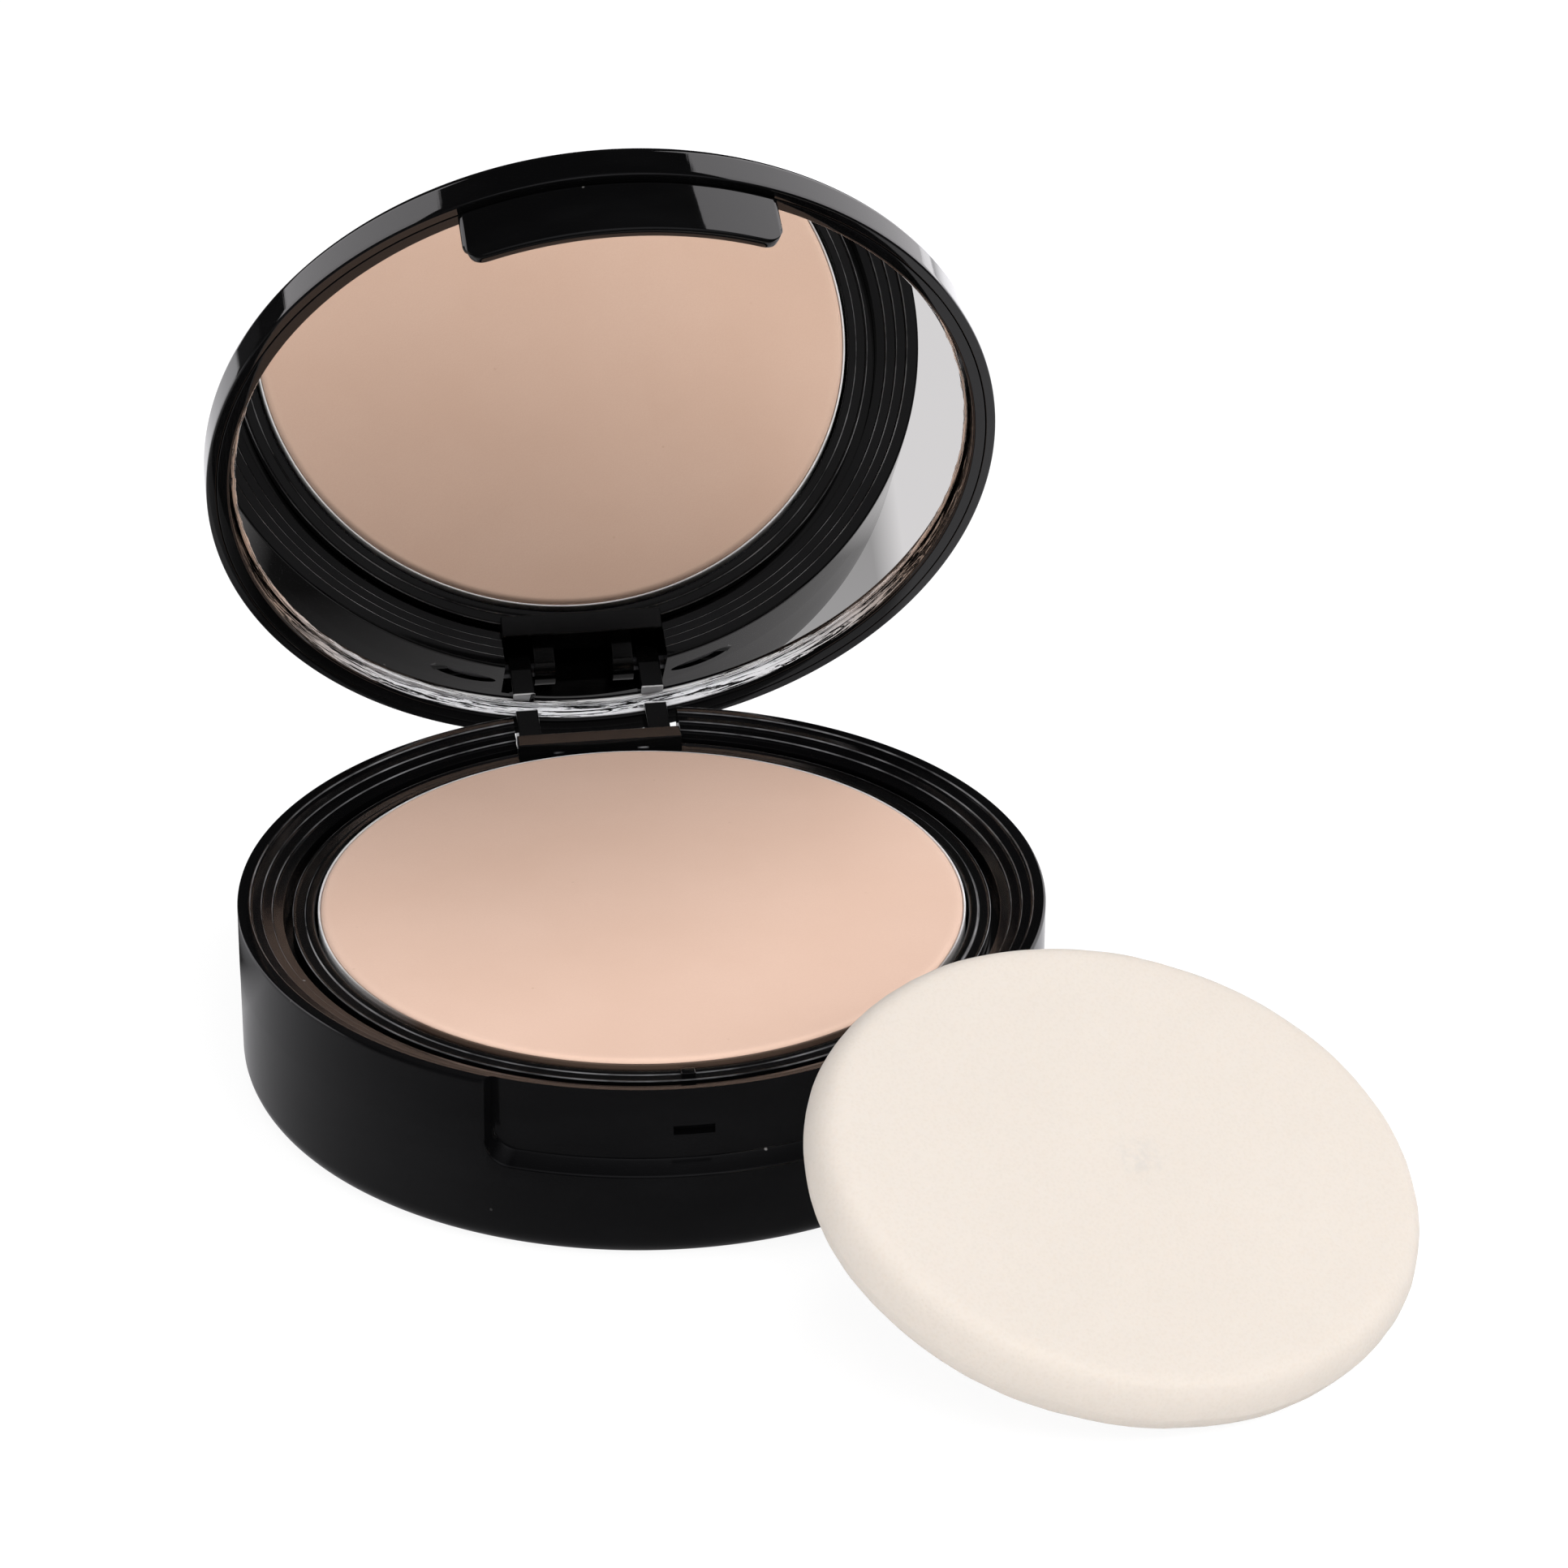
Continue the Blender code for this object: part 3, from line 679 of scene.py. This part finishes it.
def recess_columns():
    """(turn from the front, rise of the lip, depth of the recess) for each column of the wall."""
    depth = BASE_RADIUS - PANEL_RADIUS
    reach = BASE_RADIUS * radians(RECESS_ANGLE)
    flat = reach - RECESS_CORNER
    half = [(flat * i / 60, 0.0, depth) for i in range(61)]
    for i in range(1, 17):
        turn = pi / 2 * i / 16
        half.append((flat + RECESS_CORNER * sin(turn), RECESS_CORNER * (1 - cos(turn)), depth))
    for i in range(5):
        turn = pi / 2 * i / 4
        along = reach + LIP_ROUND * (1 - cos(turn))
        half.append((along, RECESS_CORNER, LIP_ROUND * (1 - sin(turn))))
    start = half[-1][0]
    end = BASE_RADIUS * pi
    count = 150
    half += [(start + (end - start) * i / count, RECESS_CORNER, 0.0) for i in range(1, count)]
    back = [(BASE_RADIUS * pi, RECESS_CORNER, 0.0)]
    mirrored = [(-s, rise, deep) for s, rise, deep in reversed(half[1:])]
    return [(s / BASE_RADIUS, rise, deep) for s, rise, deep in mirrored + half + back]


def wall_rows():
    """(height past the lip, depth) for each row of the outer wall that crosses the recess's lip."""
    full = BASE_RADIUS - PANEL_RADIUS
    rows = []
    for i in range(4):
        turn = pi / 2 * i / 3
        rows.append((LIP_ROUND * sin(turn) - LIP_ROUND, LIP_ROUND * (1 - cos(turn))))
    rows.append((RECESS_SLOPE * 0.5, full * 0.5))
    rows.append((RECESS_SLOPE - 0.0001, full - 0.00028))
    rows.append((RECESS_SLOPE + 0.00002, full - 0.00008))
    rows.append((RECESS_SLOPE + PANEL_START, full))
    return rows


def base_mesh():
    """The base as columns round the axis, each from the underside up, over the rim and in."""
    bm = bmesh.new()
    rim = rim_profile()
    low = BASE_RADIUS - WALL_TAPER
    foot = low - FOOT_ROUND - FOOT_WIDTH
    panel_top = rim_height(rim, PANEL_RADIUS) - 0.00012
    columns = []
    for turn, rise, deep in recess_columns():
        wall = BASE_RADIUS - deep
        lip = RECESS_LIP + rise
        points = [(0.0, LABEL_RECESS), (foot, LABEL_RECESS), (foot, EDGE), (foot + EDGE, 0.0)]
        for i in range(11):
            bend = pi / 2 * i / 10
            points.append((low - FOOT_ROUND * (1 - sin(bend)), FOOT_ROUND * (1 - cos(bend))))
        start = FOOT_ROUND
        end = RECESS_LIP - LIP_ROUND
        for i in range(1, 5):
            height = start + (end + rise - start) * i / 5
            points.append((BASE_RADIUS - WALL_TAPER * (1 - height / BASE_HEIGHT), height))
        for past, depth_here in wall_rows():
            points.append((BASE_RADIUS - min(depth_here, deep), lip + past))
        last = lip + RECESS_SLOPE + PANEL_START
        for i in range(1, 5):
            points.append((wall, last + (panel_top - last) * i / 4))
        for r, z in rim:
            if r > wall and deep > 0.0:
                points.append((wall - 0.00001, min(z, max(rim_height(rim, wall), panel_top))))
            else:
                points.append((r, z))
        columns.append([(r * sin(turn), -r * cos(turn), z) for r, z in points])
    rows = list(zip(*columns))
    rings = []
    for row in rows:
        if max(abs(row[0][0]), abs(row[0][1])) < 1e-9:
            rings.append([bm.verts.new(row[0])])
        else:
            rings.append([bm.verts.new(point) for point in row])
    skin(bm, rings)
    bmesh.ops.remove_doubles(bm, verts=bm.verts, dist=1e-7)
    return mesh_of("base_case", bm, 34.0)


def build_base(look):
    mesh = base_mesh()
    low = (-NOTCH_HALF, HINGE_Y - NOTCH_DEPTH, HINGE_Z - KNUCKLE - NOTCH_ROOM)
    mesh = carved(mesh, box_mesh("notch", low, (NOTCH_HALF, 0.045, 0.025)))
    mesh = carved(mesh, rod_mesh("bore", BORE_RADIUS, -BORE_REACH, BORE_REACH))
    low = (-SLOT_HALF, -0.0374, SLOT_LOW)
    mesh = carved(mesh, box_mesh("slot", low, (SLOT_HALF, -0.0346, SLOT_HIGH)))
    return piece("base_case", mesh, look, "base", ["base_shell"])


# The tray, its pan and the powder.


def eye(start, end, points=28):
    """The (y, z) points of a lug's round end, from one angle in degrees to another."""
    turns = [radians(start + (end - start) * i / points) for i in range(points + 1)]
    return [(HINGE_Y + KNUCKLE * cos(t), HINGE_Z + KNUCKLE * sin(t)) for t in turns]


def build_tray(look):
    profile = soften(
        [
            (0.0, TRAY_FLOOR, 0.0),
            (TRAY_WELL, TRAY_FLOOR, 0.0003),
            (TRAY_WELL, TRAY_TOP, 0.00025),
            (TRAY_WELL + 0.0008, TRAY_TOP, 0.0001),
            (TRAY_WELL + 0.00095, TRAY_TOP - 0.00014, 0.00006),
            (TRAY_RADIUS - 0.00028, TRAY_TOP - 0.00014, 0.00006),
            (TRAY_RADIUS - 0.0002, TRAY_TOP, 0.00008),
            (TRAY_RADIUS, TRAY_TOP, 0.0001),
            (TRAY_RADIUS, TRAY_TOP - 0.0012, 0.0001),
            (TRAY_BODY, TRAY_TOP - 0.0012, 0.0001),
            (TRAY_BODY, TRAY_BOTTOM, 0.0004),
            (0.0, TRAY_BOTTOM, 0.0),
        ]
    )
    front = TRAY_WELL + 0.0006
    low = HINGE_Z - 0.6 * KNUCKLE
    parts = [lathe_mesh("ring", profile)]
    outline = eye(-120, 90) + [(front, HINGE_Z + KNUCKLE), (front, low)]
    for first in EYE_STARTS_TRAY:
        parts.append(plate_mesh("lug", outline, first, first + EYE_REACH_TRAY))
    web_low = (WEB_LEFT, front, low + 0.0001)
    web_high = (WEB_RIGHT, HINGE_Y - 1.3 * KNUCKLE, BASE_HEIGHT - WEB_DROP)
    parts.append(box_mesh("web", web_low, web_high, EDGE))
    nib_low = (-NIB_HALF, 0.0005 - TRAY_RADIUS, TRAY_TOP - 0.0004)
    nib_high = (NIB_HALF, -TRAY_WELL - 0.0005, TRAY_TOP + 0.00035)
    parts.append(box_mesh("nib", nib_low, nib_high, EDGE))
    return piece("tray_disc", joined("tray_disc", parts), look, "tray", ["pan_tray"])


def build_pan(look):
    inner = PAN_RADIUS - PAN_WALL
    profile = soften(
        [
            (0.0, PAN_BOTTOM + PAN_WALL, 0.0),
            (inner, PAN_BOTTOM + PAN_WALL, 0.0003),
            (inner, PAN_TOP, 0.00012),
            (PAN_RADIUS, PAN_TOP, 0.00015),
            (PAN_RADIUS, PAN_BOTTOM, 0.0006),
            (0.0, PAN_BOTTOM, 0.0),
        ]
    )
    mesh = lathe_mesh("pan_dish", profile)
    return piece("pan_dish", mesh, look, "tray", ["powder_pan"])


def build_powder(look):
    """The cake's face dips and swells by hundredths of a millimetre, as a pressed powder does."""
    radius = POWDER_RADIUS
    top = POWDER_TOP
    shoulder = 0.0006
    profile = [(0.0, top)] + [(radius * 0.97 * i / 22, top) for i in range(1, 23)]
    for i in range(9):
        turn = pi / 2 * i / 8
        across = radius - shoulder + shoulder * sin(turn)
        profile.append((across, top - shoulder * 0.8 * (1 - cos(turn))))
    profile += [(radius, PAN_BOTTOM + PAN_WALL + 0.0003), (0.0, PAN_BOTTOM + PAN_WALL + 0.0003)]
    mesh = lathe_mesh("powder_bed", profile)
    for vert in mesh.vertices:
        if vert.co.z > PAN_TOP - 0.0004:
            swell = noise.noise(vert.co * 90.0) * 0.00003 + noise.noise(vert.co * 420.0) * 0.00001
            vert.co.z += min(swell, 0.00002)
    return piece("powder_bed", mesh, look, "tray", ["powder_cake"])


# The lid.


def lid_matrix():
    """Turns a piece given with the lid shut to where the open lid holds it."""
    hinge = Vector((0.0, HINGE_Y, HINGE_Z))
    turn = Matrix.Rotation(-radians(OPEN_ANGLE), 4, "X")
    return Matrix.Translation(hinge) @ turn @ Matrix.Translation(-hinge)


def build_lid(look, matrix):
    """The outer lid: slightly crowned, with a rounded corner and a thin straight wall."""
    inner = BASE_RADIUS - 0.0009
    crown = ((0.0, 0.0), (0.3, 0.00002), (0.6, 0.00006), (0.8, 0.00013), (0.9, 0.0002))
    profile = [(BASE_RADIUS * share, LID_TOP_Z - drop) for share, drop in crown]
    corner = 0.0013
    for i in range(11):
        turn = pi / 2 * i / 10
        across = BASE_RADIUS - corner * (1 - sin(turn))
        profile.append((across, LID_TOP_Z - 0.0003 - corner * (1 - cos(turn))))
    profile += soften(
        [
            (BASE_RADIUS, LID_Z + 0.0006, 0.0),
            (BASE_RADIUS, LID_Z, 0.00018),
            (inner, LID_Z, 0.00005),
            (inner, LID_CEILING, 0.0003),
            (0.0, LID_CEILING, 0.0),
        ]
    )
    mesh = lathe_mesh("lid_cover", profile)
    return piece("lid_cover", mesh, look, "lid", ["lid_shell"], matrix)


def build_bezel(look, matrix):
    """The ring round the mirror with the closing tab, its hook and the lid's two hinge lugs."""
    top = LID_CEILING - 0.0003
    ring = soften(
        [
            (BEZEL_OUTER, top, 0.0),
            (BEZEL_OUTER, LID_Z, 0.00006),
            (BEZEL_INNER, LID_Z, 0.00025),
            (BEZEL_INNER, top, 0.0),
        ]
    )
    tab_top = LID_Z - 0.0003
    section = soften(
        [
            (TAB_INNER, (TAB_LOW + tab_top) / 2, 0.0),
            (TAB_INNER, TAB_LOW, 0.00028),
            (TAB_OUTER, TAB_LOW, 0.00028),
            (TAB_OUTER, tab_top, 0.0002),
            (BEZEL_OUTER - 0.00004, tab_top, 0.00005),
            (BEZEL_OUTER - 0.00004, LID_Z + 0.0005, 0.0001),
            (TAB_INNER, LID_Z + 0.0005, 0.0001),
            (TAB_INNER, (TAB_LOW + tab_top) / 2 + 0.0001, 0.0),
        ]
    )
    hook_low = (-HOOK_HALF, -TAB_INNER - 0.0004, HOOK_LOW)
    hook_high = (HOOK_HALF, -TAB_INNER + 0.00015, HOOK_HIGH)
    parts = [
        lathe_mesh("ring", ring, closed=True),
        arc_plate_mesh("tab", section, TAB_ANGLE, TAB_CORNER, 0.0003),
        box_mesh("hook", hook_low, hook_high, 0.00006),
    ]
    neck = sqrt((BEZEL_OUTER - 0.0001) ** 2 - NECK_HALF**2)
    front = HINGE_Y - 0.9 * KNUCKLE
    back = HINGE_Y + 0.9 * KNUCKLE
    under = LID_Z - 0.0003
    over = LID_Z + 0.0006
    outline = eye(-155, 25) + [(back, under), (neck, under), (neck, over), (front, over)]
    for first in EYE_STARTS_LID:
        parts.append(plate_mesh("lug", outline, first, first + EYE_REACH_LID))
    mesh = joined("lid_frame", parts)
    return piece("lid_frame", mesh, look, "lid", ["lid_bezel"], matrix)


def build_glass(look, matrix):
    profile = soften(
        [
            (0.0, MIRROR_BACK, 0.0),
            (MIRROR_RADIUS, MIRROR_BACK, 0.00005),
            (MIRROR_RADIUS, MIRROR_FACE + 0.00012, 0.00004),
            (MIRROR_RADIUS - 0.0003, MIRROR_FACE, 0.00003),
            (0.0, MIRROR_FACE, 0.0),
        ],
        2,
    )
    mesh = lathe_mesh("lid_glass", profile)
    return piece("lid_glass", mesh, look, "lid", ["lid_mirror"], matrix)


# The sponge.


def sponge_mesh():
    """A die-cut foam disc: softly crowned faces, a full round edge and slightly uneven all over."""
    bm = bmesh.new()
    spin = radians(SPONGE_TURN)
    profile = [(0.0, SPONGE_HALF)]
    flat = SPONGE_RADIUS - SPONGE_ROUND
    profile += [(flat * i / 16, SPONGE_HALF) for i in range(1, 17)]
    for i in range(1, 17):
        turn = pi * i / 16
        profile.append((flat + SPONGE_ROUND * sin(turn) ** 0.8, SPONGE_HALF * cos(turn)))
    profile += [(flat * (15 - i) / 16, -SPONGE_HALF) for i in range(15)] + [(0.0, -SPONGE_HALF)]
    steps = 256
    rings = []
    for r, z in profile:
        if r < 1e-7:
            rings.append([bm.verts.new((0.0, 0.0, z))])
            continue
        ring = []
        for k in range(steps):
            turn = 2 * pi * k / steps
            x = r * cos(turn) * (1 + SPONGE_OVAL)
            y = r * sin(turn) * (1 - SPONGE_OVAL)
            turned = (x * cos(spin) - y * sin(spin), x * sin(spin) + y * cos(spin), z)
            ring.append(bm.verts.new(turned))
        rings.append(ring)
    skin(bm, rings)
    for vert in bm.verts:
        place = vert.co
        out = place.xy.length / SPONGE_RADIUS
        crown = 0.00022 * (out**4) * (1 if place.z > 0 else -1)
        uneven = noise.noise(place * 60.0) * 0.00014 + noise.noise(place * 260.0) * 0.00004
        vert.co.z += uneven * (1 if place.z > 0 else -1) - crown
        if out > 0.9:
            nick = noise.noise(place * 520.0) * 0.00005 + noise.noise(place * 150.0) * 0.00012
            vert.co.xy *= 1 + (nick - 0.00008) / place.xy.length
    return mesh_of("foam_puff", bm, 60.0)


def sponge_matrix():
    """Where the sponge leans on the table, from its own flat frame."""
    low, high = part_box("sponge_puff")
    bearing = Matrix.Rotation(radians(SPONGE_DOWNHILL), 4, "Z")
    tilt = Matrix.Rotation(radians(SPONGE_TILT), 4, "Y")
    return Matrix.Translation((low + high) / 2) @ (bearing @ tilt)


def build_sponge(look):
    mesh = sponge_mesh()
    mesh.transform(sponge_matrix())
    made = piece("foam_puff", mesh, look, "sponge", ["sponge_puff"])
    return made


# The studio.


def aim(position, target):
    turn = (Vector(target) - Vector(position)).to_track_quat("-Z", "Y").to_matrix().to_4x4()
    return Matrix.Translation(position) @ turn


def build_camera():
    """The photograph's view: 28 degrees above the table, a little left of the front, long lens."""
    camera = bpy.data.cameras.new("camera")
    camera.sensor_width = 36.0
    camera.lens = CAMERA_LENS
    camera.clip_start = 0.01
    camera.clip_end = 20.0
    made = bpy.data.objects.new("camera", camera)
    bearing = Matrix.Rotation(-radians(CAMERA_BEARING), 4, "Z")
    drop = Matrix.Rotation(radians(90.0 - CAMERA_DROP), 4, "X")
    roll = Matrix.Rotation(radians(CAMERA_ROLL), 4, "Z")
    made.matrix_world = Matrix.Translation(CAMERA_PLACE) @ bearing @ drop @ roll
    bpy.context.scene.collection.objects.link(made)
    bpy.context.scene.camera = made


def area_light(name, position, target, size, power, colour=(1.0, 1.0, 1.0), glossy=False):
    """A softbox out of the camera's sight, seen by matte surfaces only or by glossy ones only."""
    lamp = bpy.data.lights.new(name, "AREA")
    lamp.shape = "RECTANGLE"
    lamp.size, lamp.size_y = size
    lamp.energy = power
    lamp.color = colour
    made = bpy.data.objects.new(name, lamp)
    made.matrix_world = aim(position, target)
    made.visible_camera = False
    made.visible_glossy = glossy
    made.visible_diffuse = not glossy
    bpy.context.scene.collection.objects.link(made)


def panel_light(name, target, bearing, height, size, power):
    """A tall softbox for the gloss, at a bearing from straight behind and at a height angle."""
    bearing, height = radians(bearing), radians(height)
    away = Vector((sin(bearing) * cos(height), cos(bearing) * cos(height), sin(height)))
    area_light(name, target + away * PANEL_AWAY, target, size, power, (1.0, 0.975, 1.0), True)


def build_floor():
    """A white sweep: bright to the eye, and a duller table in the gloss of the black plastic."""
    bm = bmesh.new()
    bmesh.ops.create_grid(bm, x_segments=1, y_segments=1, size=FLOOR_HALF)
    mesh = bpy.data.meshes.new("floor")
    bm.to_mesh(mesh)
    bm.free()
    floor = bpy.data.objects.new("floor", mesh)
    floor.location.z = -FLOOR_DROP
    bpy.context.scene.collection.objects.link(floor)
    look = Look("white_sweep", 0.9, 0.0, 0.0)
    tree = look.tree
    tree.nodes.remove(look.shader)
    out = tree.nodes["Material Output"]
    path = look.node("ShaderNodeLightPath")
    place = look.node("ShaderNodeNewGeometry").outputs["Position"]
    x, y, _ = look.split(place)
    lit = look.node("ShaderNodeBsdfDiffuse")
    lit.inputs["Color"].default_value = (0.80, 0.80, 0.80, 1.0)
    seen = look.node("ShaderNodeEmission")
    seen.inputs["Color"].default_value = (1.0, 1.0, 1.0, 1.0)
    seen.inputs["Strength"].default_value = 0.90
    both = look.node("ShaderNodeAddShader")
    faint = look.node("ShaderNodeBsdfDiffuse")
    faint.inputs["Color"].default_value = (0.16, 0.16, 0.16, 1.0)
    look.link(seen.outputs[0], both.inputs[0])
    look.link(faint.outputs[0], both.inputs[1])
    # What the gloss sees of the table: bright far behind and beside the object, dim close to it,
    # and darkest in the object's own shade.
    reach = look.radius(place)
    rising = look.ramp(reach, 0.075, 0.16, 0.42, 1.15)
    behind = look.math("MULTIPLY", look.ramp(y, -0.045, 0.030), look.ramp(reach, 0.47, 0.42))
    left = look.math("MULTIPLY", behind, rising)
    beside = look.math("MULTIPLY", look.ramp(x, 0.030, 0.036), look.ramp(y, -0.045, -0.025))
    falling = look.ramp(reach, 0.5, 0.9, 1.0, 0.40)
    falling = look.math("MULTIPLY", look.ramp(reach, 0.09, 0.3, 0.64, 2.8), falling)
    right = look.math("MULTIPLY", beside, falling)
    shade = look.ramp(x, -0.033, -0.010, 0.05, 0.70)
    shade = look.math("MAXIMUM", shade, look.ramp(reach, 0.046, 0.060))
    shade = look.math("MAXIMUM", shade, look.ramp(y, 0.022, 0.012))
    near = look.ramp(reach, 0.075, 0.11, 0.17, 0.05)
    left = look.math("MULTIPLY", look.math("ADD", left, near), shade)
    far = look.math("MAXIMUM", left, look.math("ADD", right, look.math("MULTIPLY", near, beside)))
    table = look.node("ShaderNodeEmission")
    table.inputs["Color"].default_value = (0.98, 0.97, 1.0, 1.0)
    look.link(far, table.inputs["Strength"])
    first = look.node("ShaderNodeMixShader")
    look.link(path.outputs["Is Glossy Ray"], first.inputs[0])
    look.link(lit.outputs[0], first.inputs[1])
    look.link(table.outputs[0], first.inputs[2])
    last = look.node("ShaderNodeMixShader")
    look.link(path.outputs["Is Camera Ray"], last.inputs[0])
    look.link(first.outputs[0], last.inputs[1])
    look.link(both.outputs[0], last.inputs[2])
    look.link(last.outputs[0], out.inputs["Surface"])
    mesh.materials.append(look.material)


def build_world():
    """White behind the object, a dim studio, and a dark one with a glow overhead for the gloss."""
    world = bpy.data.worlds.new("studio")
    bpy.context.scene.world = world
    world.use_nodes = True
    tree = world.node_tree
    tree.nodes.clear()
    out = tree.nodes.new("ShaderNodeOutputWorld")
    white = tree.nodes.new("ShaderNodeBackground")
    white.inputs["Color"].default_value = (1.0, 1.0, 1.0, 1.0)
    white.inputs["Strength"].default_value = 1.05
    dim = tree.nodes.new("ShaderNodeBackground")
    dim.inputs["Color"].default_value = (1.0, 0.99, 1.0, 1.0)
    dim.inputs["Strength"].default_value = 0.42
    dark = tree.nodes.new("ShaderNodeBackground")
    dark.inputs["Color"].default_value = (1.0, 1.0, 1.05, 1.0)
    sky = tree.nodes.new("ShaderNodeTexCoord")
    toward = tree.nodes.new("ShaderNodeVectorMath")
    toward.operation = "DOT_PRODUCT"
    toward.inputs[1].default_value = (0.05, -0.42, 0.90)
    glow = tree.nodes.new("ShaderNodeMapRange")
    glow.inputs["From Min"].default_value = 0.70
    glow.inputs["From Max"].default_value = 0.96
    glow.inputs["To Min"].default_value = 0.02
    glow.inputs["To Max"].default_value = 0.40
    tree.links.new(sky.outputs["Generated"], toward.inputs[0])
    tree.links.new(toward.outputs["Value"], glow.inputs["Value"])
    tree.links.new(glow.outputs["Result"], dark.inputs["Strength"])
    path = tree.nodes.new("ShaderNodeLightPath")
    first = tree.nodes.new("ShaderNodeMixShader")
    tree.links.new(path.outputs["Is Glossy Ray"], first.inputs[0])
    tree.links.new(dim.outputs[0], first.inputs[1])
    tree.links.new(dark.outputs[0], first.inputs[2])
    last = tree.nodes.new("ShaderNodeMixShader")
    tree.links.new(path.outputs["Is Camera Ray"], last.inputs[0])
    tree.links.new(first.outputs[0], last.inputs[1])
    tree.links.new(white.outputs[0], last.inputs[2])
    tree.links.new(last.outputs[0], out.inputs["Surface"])


def build_lights():
    """Softboxes for the matte surfaces, and two tall panels behind the object for the gloss."""
    middle = (0.0, 0.0, 0.015)
    area_light("key", (0.17, -0.72, 0.92), middle, (0.8, 0.5), 5.6)
    area_light("top", (0.30, 0.12, 0.95), middle, (0.6, 0.5), 4.5)
    area_light("front", (-0.30, -0.90, 0.30), middle, (0.6, 0.25), 2.7)
    area_light("fill", (0.45, -0.25, 0.30), middle, (0.3, 0.3), 1.1)
    area_light("fill_left", (-0.50, -0.40, 0.12), middle, (0.3, 0.2), 1.1)
    lid = Vector((0.0, 0.028, 0.06))
    panel_light("panel_left", lid, -48.0, 27.5, (0.42, 0.567), 1.45)
    panel_light("panel_right", lid, 45.0, 24.0, (0.46, 0.95), 2.75)


def dress_cad_nodes(looks):
    for name, look in looks.items():
        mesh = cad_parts[name].data
        mesh.materials.clear()
        mesh.materials.append(look)


def main():
    bpy.context.scene.view_settings.view_transform = "Standard"
    build_camera()
    build_world()
    build_floor()

    # The base's rim steps and the tray's ring get painted edge highlights.
    black = plastic("black_gloss", (0.0014, 0.0014, 0.0016), 0.10, 0.32, 0.5, edges=RIM_HIGHLIGHT_EDGES)
    black_tray = plastic("black_tray", (0.0016, 0.0016, 0.0017), 0.16, 0.32, 0.9, edges=RING_HIGHLIGHT_EDGES)
    black_lid = plastic("black_lid", (0.0013, 0.0013, 0.0014), 0.022, 0.50, 0.5, 0.012)
    # The bezel's inner wall gets painted streaks of reflected powder and highlight.
    black_bezel = plastic("black_bezel", (0.0014, 0.0014, 0.0015), 0.03, 0.42, 0.8, wavy_wall_painted_streaks=True)
    silver_tone = (0.92, 0.92, 0.93)
    # The pan's front rim gets painted shade.
    silver = metal_look("pan_aluminium", silver_tone, 0.35, 30.0, 5000.0, 0.35, PAINTED_FRONT_SHADE)
    steel = metal_look("pin_steel", (0.10, 0.10, 0.105), 0.38, 10.0, 3000.0)
    powder = powder_look("pressed_powder")
    mirror = mirror_look("silvered_glass")
    foam = foam_look("cream_foam", sponge_matrix() @ Vector((0.0006, 0.0012, SPONGE_HALF)))

    build_base(black)
    build_tray(black_tray)
    build_pan(silver)
    build_powder(powder)
    matrix = lid_matrix()
    build_lid(black_lid, matrix)
    build_bezel(black_bezel, matrix)
    build_glass(mirror, matrix)
    build_sponge(foam)
    build_lights()
    dress_cad_nodes(
        {
            "hinge_pin_left": steel,
            "hinge_pin_right": steel,
            "base_label": matte_look("label_paper", (0.66, 0.65, 0.61), 0.75, 700.0),
            "pan_glue": matte_look("pan_glue", (0.55, 0.50, 0.36), 0.60, 300.0),
            "mirror_pad": matte_look("mirror_tape", (0.66, 0.66, 0.63), 0.70, 500.0),
        }
    )


main()
